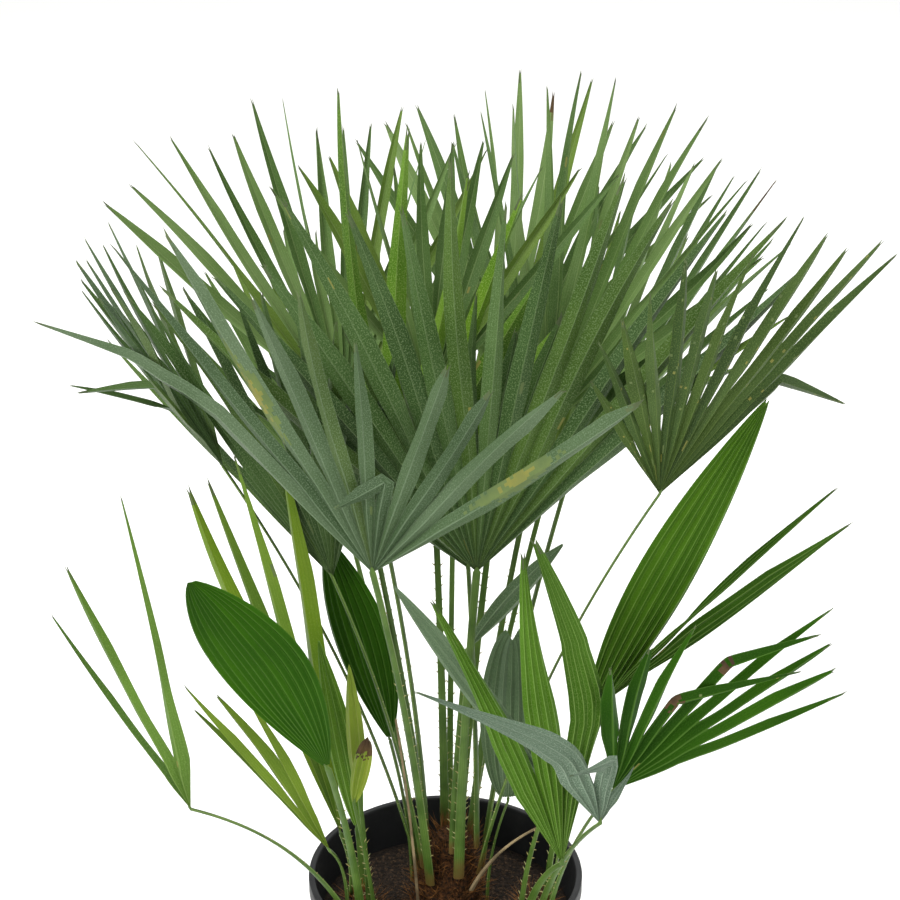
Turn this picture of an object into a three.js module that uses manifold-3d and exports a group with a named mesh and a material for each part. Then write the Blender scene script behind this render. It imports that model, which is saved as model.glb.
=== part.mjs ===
// Potted European fan palm: a clump of stiff, pleated fans on thin stalks, rising from a short
// fibrous stem and two suckers, in a tapered nursery pot filled with soil.
// Millimetres, +Z up, origin at the centre of the pot's flat underside.
// Azimuths are degrees anticlockwise from +X seen from above. The side pictured from is 270.

import * as THREE from 'three';
import Module from 'manifold-3d';

const wasm = await Module();
wasm.setup();

// Pot and soil
const POT_HEIGHT = 210;
const RIM_RADIUS = 120;
const BASE_RADIUS = 93;
const POT_WALL = 2.4;
const RIM_BAND = 17;
const RIM_LIP = 3.6;
const RIM_ROUNDING = 1;
const FOOT_BEVEL = 3;
const POT_SIDES = 48;
const SOIL_BELOW_RIM = 42;
const SOIL_CROWN = 5;
const SOIL_LEVEL_SHARE = 0.85;
const CLEAR = 0.3;

// Stems, from the soil to where their stalks leave
const SOIL_TOP = POT_HEIGHT - SOIL_BELOW_RIM;
const STEM_SIDES = 16;
const STEM_LEVELS = [0, 0.15, 0.4, 0.7, 0.92, 1];
const STEM_FLARE = 1.4;
const STEM_CROWN = 0.7;
const STEMS = {
  main: { x: 2, y: 4, foot: 35, tip: 19, height: 76, leanX: 4, leanY: -4 },
  left: { x: -66, y: -30, foot: 17, tip: 10, height: 34, leanX: -7, leanY: -3 },
  right: { x: 70, y: -36, foot: 18, tip: 10, height: 36, leanX: 8, leanY: -4 },
};

// Stalks
const STALK_SIDES = 6;
const STALK_STEPS = 6;
const STALK_FOOT_SPREAD = 1.45;
const STALK_FOOT_SHARE = 0.625;
const STALK_FLATNESS = 0.66;
const STALK_BOW_AT = 0.45;
const INTO_FAN = 4;
const INTO_YOUNG_BLADE = 9;

// Leaflets: the fold's height in half widths, where the middle section stands, the thickness as a
// share of the longest leaflet, and how unequal the lengths and the splits are
const FOLD = 0.42;
const MIDDLE = 0.6;
const LEAF_THICKNESS = 0.011;
const EDGE_THICKNESS = 0.6;
const MIDDLE_THICKNESS = 0.8;
const LENGTH_SPREAD = 0.07;
const SPLIT_SPREAD = 0.14;
const OUTER_SPLIT = 0.8;
const SPACING = 0.84;

// Ways for a leaflet to give way to what stands in its place: bend over its face, swing sideways,
// or stop short. The first that is clear by the elbow room is taken.
const EASING = [
  { bend: 0, swing: 0, share: 1 },
  { bend: 5, swing: 0, share: 1 },
  { bend: -5, swing: 0, share: 1 },
  { bend: 10, swing: 3, share: 1 },
  { bend: -10, swing: -3, share: 1 },
  { bend: 0, swing: 6, share: 0.95 },
  { bend: 0, swing: -6, share: 0.95 },
  { bend: 16, swing: 0, share: 0.9 },
  { bend: -16, swing: 0, share: 0.9 },
  { bend: 6, swing: 0, share: 0.72 },
  { bend: -6, swing: 0, share: 0.72 },
  { bend: 0, swing: 0, share: 0.5 },
  { bend: 12, swing: 0, share: 0.5 },
  { bend: -12, swing: 0, share: 0.5 },
];
const ELBOW_ROOM = 0.5;

// A leaflet that isn't snapped.
const STRAIGHT = { share: 1, at: MIDDLE, swing: 0, drop: 0 };

// Undivided young blades
const YOUNG_STEPS = 7;
const YOUNG_FOLD = 0.12;
const YOUNG_START = 0.02;
const YOUNG_END = 0.99;
const YOUNG_FULLNESS = 0.8;

// Finishes: colour, roughness, metalness
const FINISH = {
  glaucous: [0x728f72, 0.55, 0],
  green: [0x4a7430, 0.5, 0],
  bright: [0x6f9c2b, 0.5, 0],
  stalk: [0x7d9a52, 0.5, 0],
  dry: [0xa88b66, 0.85, 0],
  fibre: [0x7c4c28, 0.9, 0],
  soil: [0x33261d, 0.95, 0],
  pot: [0x17181a, 0.45, 0],
};

// Full fans. root: azimuth and level (0 foot, 1 tip) on the stem. hub: azimuth, reach and height
// of the point where the leaflets meet. bow: how far the stalk's middle stands above its chord.
// face: azimuth the blade's back looks to. rise: steepness of the blade. tilt: its middle leaflet's
// lean in the blade. reach: length of the first, middle and last leaflet. split: share of a leaflet
// that is joined to its neighbours. cup: how far the outer leaflets lift. sag: how far tips droop.
// kinks: leaflets that are snapped, with the share of their length that is left, where it bends,
// and how far the rest swings across the blade and drops behind it.
const FANS = [
  { name: 'front_left', finish: 'glaucous', stem: 'main', root: [234, 0.5], hub: [243, 124, 567], bow: 8,
    stalk: 8, face: 248, rise: 84, tilt: 0.5, spread: 101, leaflets: 11, reach: [268, 222, 395],
    split: 0.3, wide: 16, sag: 4, cup: 6, seed: 1,
    kinks: [{ leaflet: 4, share: 0.46, at: 0.37, swing: 131, drop: 25 },
      { leaflet: 10, share: 0.84, at: 0.45, swing: 30, drop: 0 }] },
  { name: 'front_right', finish: 'glaucous', stem: 'main', root: [285, 0.62], hub: [293, 65, 540], bow: 5,
    stalk: 8.5, face: 272, rise: 84, tilt: 0, spread: 88, leaflets: 14, reach: [392, 360, 335],
    split: 0.34, wide: 19, sag: 4, cup: 5, seed: 2 },
  { name: 'front_behind', finish: 'green', stem: 'main', root: [335, 0.9], hub: [0, 19, 511], bow: 3,
    stalk: 7, face: 276, rise: 88, tilt: 3, spread: 92, leaflets: 12, reach: [200, 250, 250],
    split: 0.38, wide: 16, sag: 4, cup: 4, seed: 3 },
  { name: 'centre', finish: 'bright', stem: 'main', root: [160, 0.9], hub: [152.3, 54.1, 517], bow: 5,
    stalk: 7, face: 268, rise: 90, tilt: -15, spread: 40, leaflets: 6, reach: [254, 350, 398],
    split: 0.3, wide: 22, sag: 4, cup: 3, seed: 15 },
  { name: 'back_left', finish: 'green', stem: 'main', root: [138, 0.62], hub: [130, 131, 604], bow: 8,
    stalk: 7, face: 120, rise: 70, tilt: -1, spread: 80, leaflets: 15, reach: [300, 268, 262],
    split: 0.36, wide: 12.5, sag: 4, cup: 6, seed: 4 },
  { name: 'left', finish: 'glaucous', stem: 'main', root: [180, 0.5], hub: [177, 181, 600], bow: 14,
    stalk: 5, face: 184, rise: 57, tilt: 8, spread: 80, leaflets: 14, reach: [170, 215, 225],
    split: 0.36, wide: 13, sag: 6, cup: 8, seed: 5,
    kinks: [{ leaflet: 1, share: 1, at: 0.44, swing: -3, drop: 51 },
      { leaflet: 2, share: 1, at: 0.09, swing: -12, drop: 25 }] },
  { name: 'left_low', finish: 'green', stem: 'main', root: [205, 0.62], hub: [184, 93, 506], bow: 8,
    stalk: 6, face: 235, rise: 74, tilt: 16, spread: 72, leaflets: 15, reach: [260, 290, 280],
    split: 0.42, wide: 15, sag: 6, cup: 6, seed: 6 },
  { name: 'right', finish: 'glaucous', stem: 'main', root: [333, 0.55], hub: [332, 189, 625], bow: 14,
    stalk: 5, face: 292, rise: 74, tilt: -9, spread: 80, leaflets: 13, reach: [262, 250, 150],
    split: 0.34, wide: 12.5, sag: 5, cup: 6, seed: 7,
    kinks: [{ leaflet: 0, share: 0.81, at: 0.35, swing: -72, drop: 0 }] },
  { name: 'back_middle', finish: 'green', stem: 'main', root: [105, 0.85], hub: [102, 61, 637], bow: 6,
    stalk: 7, face: 100, rise: 76, tilt: 4, spread: 74, leaflets: 12, reach: [240, 215, 235],
    split: 0.36, wide: 13, sag: 5, cup: 6, seed: 8 },
  { name: 'back', finish: 'green', stem: 'main', root: [76, 0.55], hub: [74, 205, 590], bow: 10,
    stalk: 7, face: 76, rise: 62, tilt: 2, spread: 80, leaflets: 13, reach: [262, 272, 262],
    split: 0.36, wide: 12.5, sag: 5, cup: 6, seed: 9 },
  { name: 'back_right', finish: 'green', stem: 'main', root: [48, 0.8], hub: [50, 128, 592], bow: 8,
    stalk: 7, face: 46, rise: 70, tilt: 0, spread: 86, leaflets: 14, reach: [290, 300, 300],
    split: 0.36, wide: 12.5, sag: 5, cup: 6, seed: 10 },
  { name: 'right_back', finish: 'green', stem: 'main', root: [18, 0.45], hub: [33, 125, 566], bow: 9,
    stalk: 7, face: 12, rise: 58, tilt: 0, spread: 84, leaflets: 14, reach: [265, 295, 285],
    split: 0.36, wide: 12.5, sag: 5, cup: 6, seed: 11 },
  { name: 'low_back_left', finish: 'green', stem: 'main', root: [140, 0.25], hub: [122, 168, 490], bow: 10,
    stalk: 6, face: 118, rise: 56, tilt: 10, spread: 80, leaflets: 13, reach: [230, 260, 250],
    split: 0.36, wide: 12.5, sag: 8, cup: 6, seed: 12 },
  { name: 'low_back', finish: 'green', stem: 'main', root: [90, 0.25], hub: [88, 190, 458], bow: 12,
    stalk: 6, face: 88, rise: 44, tilt: 0, spread: 104, leaflets: 13, reach: [230, 260, 230],
    split: 0.36, wide: 12.5, sag: 10, cup: 6, seed: 13 },
  { name: 'low_back_right', finish: 'green', stem: 'main', root: [66, 0.25], hub: [62, 190, 500], bow: 10,
    stalk: 6, face: 66, rise: 56, tilt: -6, spread: 92, leaflets: 13, reach: [240, 260, 230],
    split: 0.36, wide: 12.5, sag: 8, cup: 6, seed: 14 },
];

// Small fans of a few broad leaflets, each in one piece with its stalk, sized as above.
const SMALL_FANS = [
  { name: 'right_pair', finish: 'bright', stem: 'right', root: [352, 0.6], hub: [343, 135, 404], bow: 5,
    stalk: 5, face: 300, rise: 74, tilt: -50, spread: 12, leaflets: 2, reach: [268, 268, 268],
    split: 0.16, wide: 27, sag: 12, cup: 0, seed: 21 },
  { name: 'right_low', finish: 'glaucous', stem: 'right', root: [322, 0.3], hub: [330, 160, 346], bow: 8,
    stalk: 6, face: 300, rise: 74, tilt: -38, spread: 96, leaflets: 9, reach: [250, 225, 150],
    split: 0.3, wide: 17, sag: 10, cup: 4, seed: 22,
    kinks: [{ leaflet: 4, share: 1, at: 0.47, swing: -41, drop: 4 },
      { leaflet: 5, share: 1, at: 0.26, swing: -55, drop: 10 }] },
  { name: 'front_young', finish: 'bright', stem: 'right', root: [250, 0.35], hub: [308, 156, 303], bow: 8,
    stalk: 7, face: 285, rise: 90, tilt: 7, spread: 31, leaflets: 3, reach: [334, 286, 290],
    split: 0.32, wide: 28, sag: 4, cup: 2, seed: 24,
    kinks: [{ leaflet: 0, share: 1, at: 0.28, swing: 27, drop: 0 }] },
  { name: 'right_front', finish: 'glaucous', stem: 'right', root: [285, 0.75], hub: [311.2, 188.8, 355],
    bow: 8, stalk: 6, face: 300, rise: 88, tilt: -8, spread: 60, leaflets: 3, reach: [56, 124, 262],
    split: 0.26, wide: 27, sag: 8, cup: 4, seed: 23,
    kinks: [{ leaflet: 1, share: 1, at: 0.3, swing: 76, drop: 24 },
      { leaflet: 2, share: 1, at: 0.165, swing: 33, drop: -4 }] },
  { name: 'left_low_group', finish: 'bright', stem: 'left', root: [196, 0.5], hub: [212, 115, 273], bow: 8,
    stalk: 6, face: 240, rise: 70, tilt: 24, spread: 24, leaflets: 4, reach: [205, 205, 190],
    split: 0.24, wide: 21, sag: 8, cup: 2, seed: 25 },
  { name: 'left_tall_group', finish: 'bright', stem: 'left', root: [140, 0.8], hub: [193, 92, 262], bow: 4,
    stalk: 6, face: 235, rise: 84, tilt: 14.5, spread: 19, leaflets: 4, reach: [370, 360, 322],
    split: 0.3, wide: 19, sag: 5, cup: 2, seed: 26 },
  { name: 'far_left', finish: 'bright', stem: 'left', root: [238, 0.2], hub: [196, 222, 315], bow: 16,
    stalk: 6, face: 240, rise: 80, tilt: 19, spread: 31, leaflets: 3, reach: [352, 268, 220],
    split: 0.2, wide: 11, sag: 8, cup: 2, seed: 27 },
];

// Young undivided blades, each in one piece with its stalk.
const YOUNG_BLADES = [
  { name: 'young_right', finish: 'bright', stem: 'right', root: [40, 0.8], hub: [351, 125, 384], bow: 6,
    stalk: 6, face: 280, rise: 82, tilt: -21.5, length: 335, wide: 51, widest: 0.42, curl: 10, seed: 31 },
  { name: 'young_left', finish: 'green', stem: 'left', root: [265, 0.8], hub: [232, 153, 393], bow: 6,
    stalk: 7, face: 250, rise: 78, tilt: 26, length: 208, wide: 88, widest: 0.55, curl: 10, seed: 32 },
  { name: 'young_dark', finish: 'green', stem: 'main', root: [165, 0.25], hub: [156, 52, 330], bow: 4,
    stalk: 6, face: 250, rise: 84, tilt: 12, length: 212, wide: 54, widest: 0.5, curl: 6, seed: 33 },
  { name: 'young_small', finish: 'green', stem: 'main', root: [345, 0.12], hub: [349, 55, 290], bow: 4,
    stalk: 5, face: 275, rise: 86, tilt: 0, length: 182, wide: 50, widest: 0.5, curl: 6, seed: 34 },
  { name: 'folded_leaf', finish: 'glaucous', stem: 'main', root: [270, 0.92], hub: [300, 35, 451], bow: 2,
    stalk: 5, face: 290, rise: 80, tilt: -38, length: 125, wide: 22, widest: 0.5, curl: 4, seed: 35 },
  { name: 'spear', finish: 'bright', stem: 'left', root: [90, 0.9], hub: [207, 84, 279], bow: 2,
    stalk: 6, face: 250, rise: 84, tilt: 6.5, length: 197, wide: 26, widest: 0.4, curl: 2, seed: 36 },
  { name: 'front_grey', finish: 'glaucous', stem: 'right', root: [225, 0.6], hub: [315, 125, 349], bow: 6,
    stalk: 5, face: 270, rise: 86, tilt: 32, length: 245, wide: 21, widest: 0.45, curl: 5, seed: 37 },
  { name: 'yellow_leaf', finish: 'bright', stem: 'left', root: [300, 0.9], hub: [221, 95, 329], bow: 2,
    stalk: 5, face: 262, rise: 86, tilt: 2, length: 135, wide: 15, widest: 0.4, curl: 2, seed: 38 },
  { name: 'old_stub', finish: 'bright', stem: 'left', root: [310, 0.55], hub: [226.6, 110.1, 333.3], bow: 2,
    stalk: 4, face: 262, rise: 86, tilt: -11, length: 68, wide: 15, widest: 0.55, curl: 1, seed: 39 },
];

// Dead stalks that have lost their blades.
const DRY_STALKS = [
  { name: 'dry_stalk_left', finish: 'dry', stem: 'main', root: [215, 0.2], hub: [232, 66, 395], bow: 3,
    stalk: 3.4, face: 232, rise: 88, tilt: 0 },
  { name: 'dry_stalk_right', finish: 'dry', stem: 'main', root: [310, 0.4], hub: [338, 92, 282], bow: 6,
    stalk: 5, face: 338, rise: 40, tilt: 0 },
];

const deg = THREE.MathUtils.degToRad;
const vector = (x, y, z) => new THREE.Vector3(x, y, z);
const along = (point, direction, distance) => point.clone().addScaledVector(direction, distance);

// A point given by azimuth, distance from the pot's axis and height.
function polar([azimuth, reach, height]) {
  return vector(reach * Math.cos(deg(azimuth)), reach * Math.sin(deg(azimuth)), height);
}

// A fixed spread of values from -1 to 1 for one leaflet of one frond.
function vary(seed, index) {
  const value = Math.sin(seed * 12.9898 + index * 78.233) * 43758.5453;
  return 2 * (value - Math.floor(value)) - 1;
}

// Points and triangles of one closed surface, turned to face outwards when it is finished.
class Shell {
  constructor() {
    this.points = [];
    this.faces = [];
  }

  point(position) {
    this.points.push(position);
    return this.points.length - 1;
  }

  quad(a, b, c, d) {
    this.faces.push([a, b, c], [a, c, d]);
  }

  triangle(a, b, c) {
    this.faces.push([a, b, c]);
  }

  volume() {
    let sum = 0;
    for (const [a, b, c] of this.faces) {
      const normal = this.points[b].clone().cross(this.points[c]);
      sum += this.points[a].dot(normal) / 6;
    }
    return sum;
  }

  geometry() {
    const inwards = this.volume() < 0;
    const index = this.faces.flatMap(([a, b, c]) => (inwards ? [a, c, b] : [a, b, c]));
    const geometry = new THREE.BufferGeometry().setFromPoints(this.points);
    geometry.setIndex(index);
    return geometry;
  }
}

// A closed body through rings of equally many points.
function loft(rings) {
  const shell = new Shell();
  const rows = rings.map((ring) => ring.map((position) => shell.point(position)));
  for (let row = 1; row < rows.length; row += 1) {
    const lower = rows[row - 1];
    const upper = rows[row];
    for (let side = 0; side < lower.length; side += 1) {
      const next = (side + 1) % lower.length;
      shell.quad(lower[side], lower[next], upper[next], upper[side]);
    }
  }
  const last = rows[rows.length - 1];
  for (let side = 1; side < last.length - 1; side += 1) {
    shell.triangle(rows[0][0], rows[0][side + 1], rows[0][side]);
    shell.triangle(last[0], last[side], last[side + 1]);
  }
  return shell.geometry();
}

// Between meshes and solids that can be joined and tested for space.
function toSolid(geometry) {
  const vertProperties = new Float32Array(geometry.getAttribute('position').array);
  const triVerts = new Uint32Array(geometry.getIndex().array);
  return new wasm.Manifold(new wasm.Mesh({ numProp: 3, vertProperties, triVerts }));
}

function toGeometry(solid) {
  const mesh = solid.getMesh();
  const geometry = new THREE.BufferGeometry();
  geometry.setAttribute('position', new THREE.BufferAttribute(mesh.vertProperties, 3));
  geometry.setIndex(new THREE.BufferAttribute(mesh.triVerts, 1));
  return geometry;
}

const palm = new THREE.Group();
const placed = [];

// Adds one named piece, and keeps its solid for the leaflets placed after it to stay clear of.
function place(name, geometry, finish) {
  const [color, roughness, metalness] = FINISH[finish];
  const mesh = new THREE.Mesh(geometry, new THREE.MeshStandardMaterial({ color, roughness, metalness }));
  mesh.name = name;
  geometry.computeVertexNormals();
  geometry.computeBoundingBox();
  placed.push({ name, solid: toSolid(geometry), box: geometry.boundingBox });
  palm.add(mesh);
}

// A body turned about the pot's axis from an outline that starts and ends on that axis.
function latheGeometry(profile) {
  const outline = profile.map(([radius, height]) => new THREE.Vector2(radius, height));
  const turned = new THREE.LatheGeometry([...outline, outline[0].clone()], POT_SIDES);
  turned.rotateX(Math.PI / 2);
  const shell = new Shell();
  const rings = outline.length;
  const position = turned.getAttribute('position');
  const index = [];
  for (let step = 0; step < POT_SIDES; step += 1) {
    for (let ring = 0; ring < rings; ring += 1) {
      const onAxis = outline[ring].x === 0;
      const point = vector().fromBufferAttribute(position, step * (rings + 1) + ring);
      index.push(onAxis && step > 0 ? index[ring] : shell.point(point));
    }
  }
  for (let step = 0; step < POT_SIDES; step += 1) {
    const next = ((step + 1) % POT_SIDES) * rings;
    for (let ring = 0; ring < rings; ring += 1) {
      const corners = [index[step * rings + ring], index[next + ring]];
      const above = (ring + 1) % rings;
      corners.push(index[next + above], index[step * rings + above]);
      const distinct = corners.filter((corner, order) => corners.indexOf(corner) === order);
      if (distinct.length === 4) shell.quad(...distinct);
      if (distinct.length === 3) shell.triangle(...distinct);
    }
  }
  return shell.geometry();
}

// Radius of the pot's outer wall at a height.
function wallRadius(height) {
  return BASE_RADIUS + (RIM_RADIUS - RIM_LIP - BASE_RADIUS) * (height / POT_HEIGHT);
}

function potGeometry() {
  const band = POT_HEIGHT - RIM_BAND;
  return latheGeometry([
    [0, 0],
    [BASE_RADIUS - FOOT_BEVEL, 0],
    [BASE_RADIUS, FOOT_BEVEL],
    [wallRadius(band), band],
    [RIM_RADIUS, band + FOOT_BEVEL],
    [RIM_RADIUS, POT_HEIGHT - RIM_ROUNDING],
    [RIM_RADIUS - RIM_ROUNDING, POT_HEIGHT],
    [wallRadius(POT_HEIGHT) - POT_WALL + RIM_ROUNDING, POT_HEIGHT],
    [wallRadius(POT_HEIGHT) - POT_WALL, POT_HEIGHT - RIM_ROUNDING],
    [wallRadius(POT_WALL) - POT_WALL, POT_WALL],
    [0, POT_WALL],
  ]);
}

function soilGeometry() {
  const inset = POT_WALL + CLEAR;
  return latheGeometry([
    [0, inset],
    [wallRadius(inset) - inset, inset],
    [wallRadius(SOIL_TOP) - inset, SOIL_TOP],
    [wallRadius(SOIL_TOP) * SOIL_LEVEL_SHARE, SOIL_TOP + SOIL_CROWN],
    [0, SOIL_TOP + SOIL_CROWN],
  ]);
}

// Centre and radius of a stem at a level from 0, its foot, to 1, its tip.
function stemAt(stem, level) {
  const height = SOIL_TOP + SOIL_CROWN + CLEAR + stem.height * level;
  const centre = vector(stem.x + stem.leanX * level, stem.y + stem.leanY * level, height);
  const radius = stem.tip + (stem.foot - stem.tip) * (1 - level) ** STEM_FLARE;
  return { centre, radius };
}

function stemGeometry(stem) {
  return loft(STEM_LEVELS.map((level) => {
    const { centre, radius } = stemAt(stem, level);
    const girth = level === 1 ? radius * STEM_CROWN : radius;
    return Array.from({ length: STEM_SIDES }, (_, side) => {
      const angle = (2 * Math.PI * side) / STEM_SIDES;
      return centre.clone().add(vector(girth * Math.cos(angle), girth * Math.sin(angle), 0));
    });
  }));
}

// The blade's own directions: up its steepest line, to its upper side, and across.
function bladeFrame({ face, rise }) {
  const f = deg(face);
  const r = deg(rise);
  const up = vector(Math.cos(r) * Math.cos(f), Math.cos(r) * Math.sin(f), Math.sin(r));
  const upper = vector(-Math.sin(r) * Math.cos(f), -Math.sin(r) * Math.sin(f), Math.cos(r));
  return { up, upper, across: up.clone().cross(upper) };
}

// Direction of a blade's middle leaflet.
function bladeAxis(frond) {
  const { up, across } = bladeFrame(frond);
  return up.multiplyScalar(Math.cos(deg(frond.tilt))).addScaledVector(across, Math.sin(deg(frond.tilt)));
}

function footWidth(frond) {
  return frond.stalk * STALK_FOOT_SPREAD;
}

// A stalk's centre line, from just clear of its stem to its hub.
function stalkPath(frond) {
  const stem = STEMS[frond.stem];
  const [azimuth, level] = frond.root;
  const { centre, radius } = stemAt(stem, level);
  const outward = vector(Math.cos(deg(azimuth)), Math.sin(deg(azimuth)), 0);
  const start = along(centre, outward, radius + footWidth(frond) * STALK_FLATNESS * 0.5 + CLEAR);
  const hub = polar(frond.hub);
  const chord = hub.clone().sub(start).normalize();
  const lift = vector(0, 0, 1).addScaledVector(chord, -chord.z).normalize();
  const middle = start.clone().lerp(hub, STALK_BOW_AT).addScaledVector(lift, 2 * frond.bow);
  middle.addScaledVector(vector(0, 0, 1), frond.bow);
  return new THREE.QuadraticBezierCurve3(start, middle, hub);
}

// A stalk: flat-sided, tapering from its foot to its hub and running on into the blade by a length.
function stalkGeometry(frond, into) {
  const path = stalkPath(frond);
  const axis = bladeAxis(frond);
  const rings = [];
  for (let step = 0; step <= STALK_STEPS; step += 1) {
    const share = step / STALK_STEPS;
    const centre = path.getPoint(share);
    const tangent = path.getTangent(share);
    const last = step === STALK_STEPS;
    const normal = last ? tangent.clone().add(axis).normalize() : tangent;
    if (last) centre.addScaledVector(normal, into);
    const outward = vector(Math.cos(deg(frond.root[0])), Math.sin(deg(frond.root[0])), 0);
    const across = vector(0, 0, 1).cross(outward);
    across.addScaledVector(normal, -across.dot(normal)).normalize();
    const depth = across.clone().cross(normal);
    const width = THREE.MathUtils.lerp(footWidth(frond), frond.stalk, Math.min(1, share / STALK_FOOT_SHARE));
    rings.push(Array.from({ length: STALK_SIDES }, (_, side) => {
      const angle = (2 * Math.PI * (side + 0.5)) / STALK_SIDES;
      return along(centre, across, (width / 2) * Math.cos(angle))
        .addScaledVector(depth, (width / 2) * STALK_FLATNESS * Math.sin(angle));
    }));
  }
  return loft(rings);
}

// Direction of the ray that stands in the blade at an angle from its steepest line.
function ray(frond, frame, angle) {
  const edge = frond.spread > 0 ? (angle - frond.tilt) / (frond.spread / 2) : 0;
  const lift = deg(frond.cup * edge * edge);
  const flat = frame.up.clone().multiplyScalar(Math.cos(deg(angle)));
  flat.addScaledVector(frame.across, Math.sin(deg(angle)));
  return flat.multiplyScalar(Math.cos(lift)).addScaledVector(frame.upper, Math.sin(lift));
}

// Everything that the leaflets of one fan share: rays, lengths, and where they split.
function fanPlan(frond) {
  const frame = bladeFrame(frond);
  const step = frond.spread / (frond.leaflets - 1);
  const hub = along(polar(frond.hub), bladeAxis(frond), CLEAR);
  const down = vector(0, 0, -frond.sag);
  const [first, middle, last] = frond.reach;
  const reachOf = (index) => {
    const across = (2 * index) / (frond.leaflets - 1) - 1;
    const even = middle + (across * (last - first)) / 2 + across * across * ((first + last) / 2 - middle);
    return even * (1 + LENGTH_SPREAD * vary(frond.seed, index));
  };
  const leaflets = Array.from({ length: frond.leaflets }, (_, index) => {
    const angle = frond.tilt - frond.spread / 2 + step * index;
    return { index, angle, direction: ray(frond, frame, angle), reach: reachOf(index) };
  });
  const ridges = Array.from({ length: frond.leaflets + 1 }, (_, index) => {
    const left = leaflets[Math.max(0, index - 1)].reach;
    const right = leaflets[Math.min(frond.leaflets - 1, index)].reach;
    const outer = index === 0 || index === frond.leaflets;
    const share = frond.split * (outer ? OUTER_SPLIT : 1 + SPLIT_SPREAD * vary(frond.seed + 0.5, index));
    const angle = frond.tilt - frond.spread / 2 + step * (index - 0.5);
    return { distance: share * Math.min(left, right), direction: ray(frond, frame, angle) };
  });
  return { frond, frame, step, hub, down, length: Math.max(...frond.reach), leaflets, ridges };
}

// A point on a ray, lowered by the leaflet's sag and raised or sunk by the pleat.
function onRay(plan, direction, distance, pleat) {
  const share = distance / plan.length;
  const halfWidth = distance * Math.tan(deg(plan.step / 2));
  return along(plan.hub, direction, distance)
    .addScaledVector(plan.down, share * share)
    .addScaledVector(plan.frame.upper, pleat * FOLD * Math.min(halfWidth, plan.frond.wide / 2));
}

// The free part of a leaflet: its keel where it splits off, a middle section and its tip.
function freeLeaflet(plan, leaflet, easing, room) {
  const { frond, frame } = plan;
  const kink = (frond.kinks ?? []).find((snapped) => snapped.leaflet === leaflet.index) ?? STRAIGHT;
  const near = (plan.ridges[leaflet.index].distance + plan.ridges[leaflet.index + 1].distance) / 2;
  const reach = near + (leaflet.reach - near) * easing.share * kink.share;
  const bendAt = near + (reach - near) * kink.at;
  const keel = onRay(plan, leaflet.direction, near, -1);
  const turn = (offset, bend, swing) => offset
    .applyAxisAngle(leaflet.direction.clone().cross(frame.upper).normalize(), deg(bend))
    .applyAxisAngle(frame.upper, -deg(swing));
  const inner = turn(onRay(plan, leaflet.direction, bendAt, -0.5).sub(keel), easing.bend, easing.swing);
  const outer = onRay(plan, leaflet.direction, reach, 0).sub(onRay(plan, leaflet.direction, bendAt, -0.5));
  turn(outer, easing.bend - kink.drop, easing.swing + kink.swing);
  const middle = keel.clone().add(inner);
  const tip = middle.clone().add(outer);
  const heading = inner.clone().normalize().add(outer.clone().normalize()).normalize();
  const across = heading.clone().cross(frame.upper).normalize();
  const upper = across.clone().cross(heading);
  const gap = 2 * bendAt * Math.tan(deg(plan.step / 2)) * SPACING;
  const half = Math.min(frond.wide, gap) / 2 + room;
  const thick = plan.length * LEAF_THICKNESS * MIDDLE_THICKNESS * 0.5 + room;
  return {
    keel,
    tip: tip.addScaledVector(outer.normalize(), room),
    left: along(middle, across, -half).addScaledVector(upper, half * FOLD),
    right: along(middle, across, half).addScaledVector(upper, half * FOLD),
    top: along(middle, upper, thick),
    bottom: along(middle, upper, -thick),
  };
}

// Adds a leaflet beyond its split to the fan's surface.
function addFreeLeaflet(shell, corners, free) {
  const [leftTop, leftBottom, keelTop, keelBottom, rightTop, rightBottom] = corners;
  const [left, right, top, bottom, tip] = [free.left, free.right, free.top, free.bottom, free.tip]
    .map((position) => shell.point(position));
  shell.quad(leftTop, left, top, keelTop);
  shell.quad(keelTop, top, right, rightTop);
  shell.quad(keelBottom, bottom, left, leftBottom);
  shell.quad(rightBottom, right, bottom, keelBottom);
  shell.triangle(leftBottom, left, leftTop);
  shell.triangle(rightTop, right, rightBottom);
  shell.triangle(left, tip, top);
  shell.triangle(top, tip, right);
  shell.triangle(bottom, tip, left);
  shell.triangle(right, tip, bottom);
}

// Upper and lower corner of the blade at the end of a ridge, where two leaflets part.
function ridgeCorners(plan, shell, index, room) {
  const { distance, direction } = plan.ridges[index];
  const centre = onRay(plan, direction, distance, 1);
  const thick = plan.length * LEAF_THICKNESS * EDGE_THICKNESS * 0.5 + room;
  return [1, -1].map((side) => shell.point(along(centre, plan.frame.upper, side * thick)));
}

// Upper and lower corner of the blade on a leaflet's keel, where its free part begins.
function keelCorners(plan, shell, free, room) {
  const thick = plan.length * LEAF_THICKNESS * 0.5 + room;
  return [1, -1].map((side) => shell.point(along(free.keel, plan.frame.upper, side * thick)));
}

// The free part alone, closed at its split and grown by some elbow room, to try it for space.
function trialSolid(plan, leaflet, easing) {
  const shell = new Shell();
  const free = freeLeaflet(plan, leaflet, easing, ELBOW_ROOM);
  const left = ridgeCorners(plan, shell, leaflet.index, ELBOW_ROOM);
  const keel = keelCorners(plan, shell, free, ELBOW_ROOM);
  const right = ridgeCorners(plan, shell, leaflet.index + 1, ELBOW_ROOM);
  addFreeLeaflet(shell, [...left, ...keel, ...right], free);
  shell.quad(left[0], keel[0], keel[1], left[1]);
  shell.quad(keel[0], right[0], right[1], keel[1]);
  const geometry = shell.geometry();
  geometry.computeBoundingBox();
  return { solid: toSolid(geometry), box: geometry.boundingBox };
}

// Whether a trial solid keeps off every piece placed so far.
function isClear(trial) {
  return placed.every(({ solid, box }) => !box.intersectsBox(trial.box)
    || solid.intersect(trial.solid).isEmpty());
}

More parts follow.
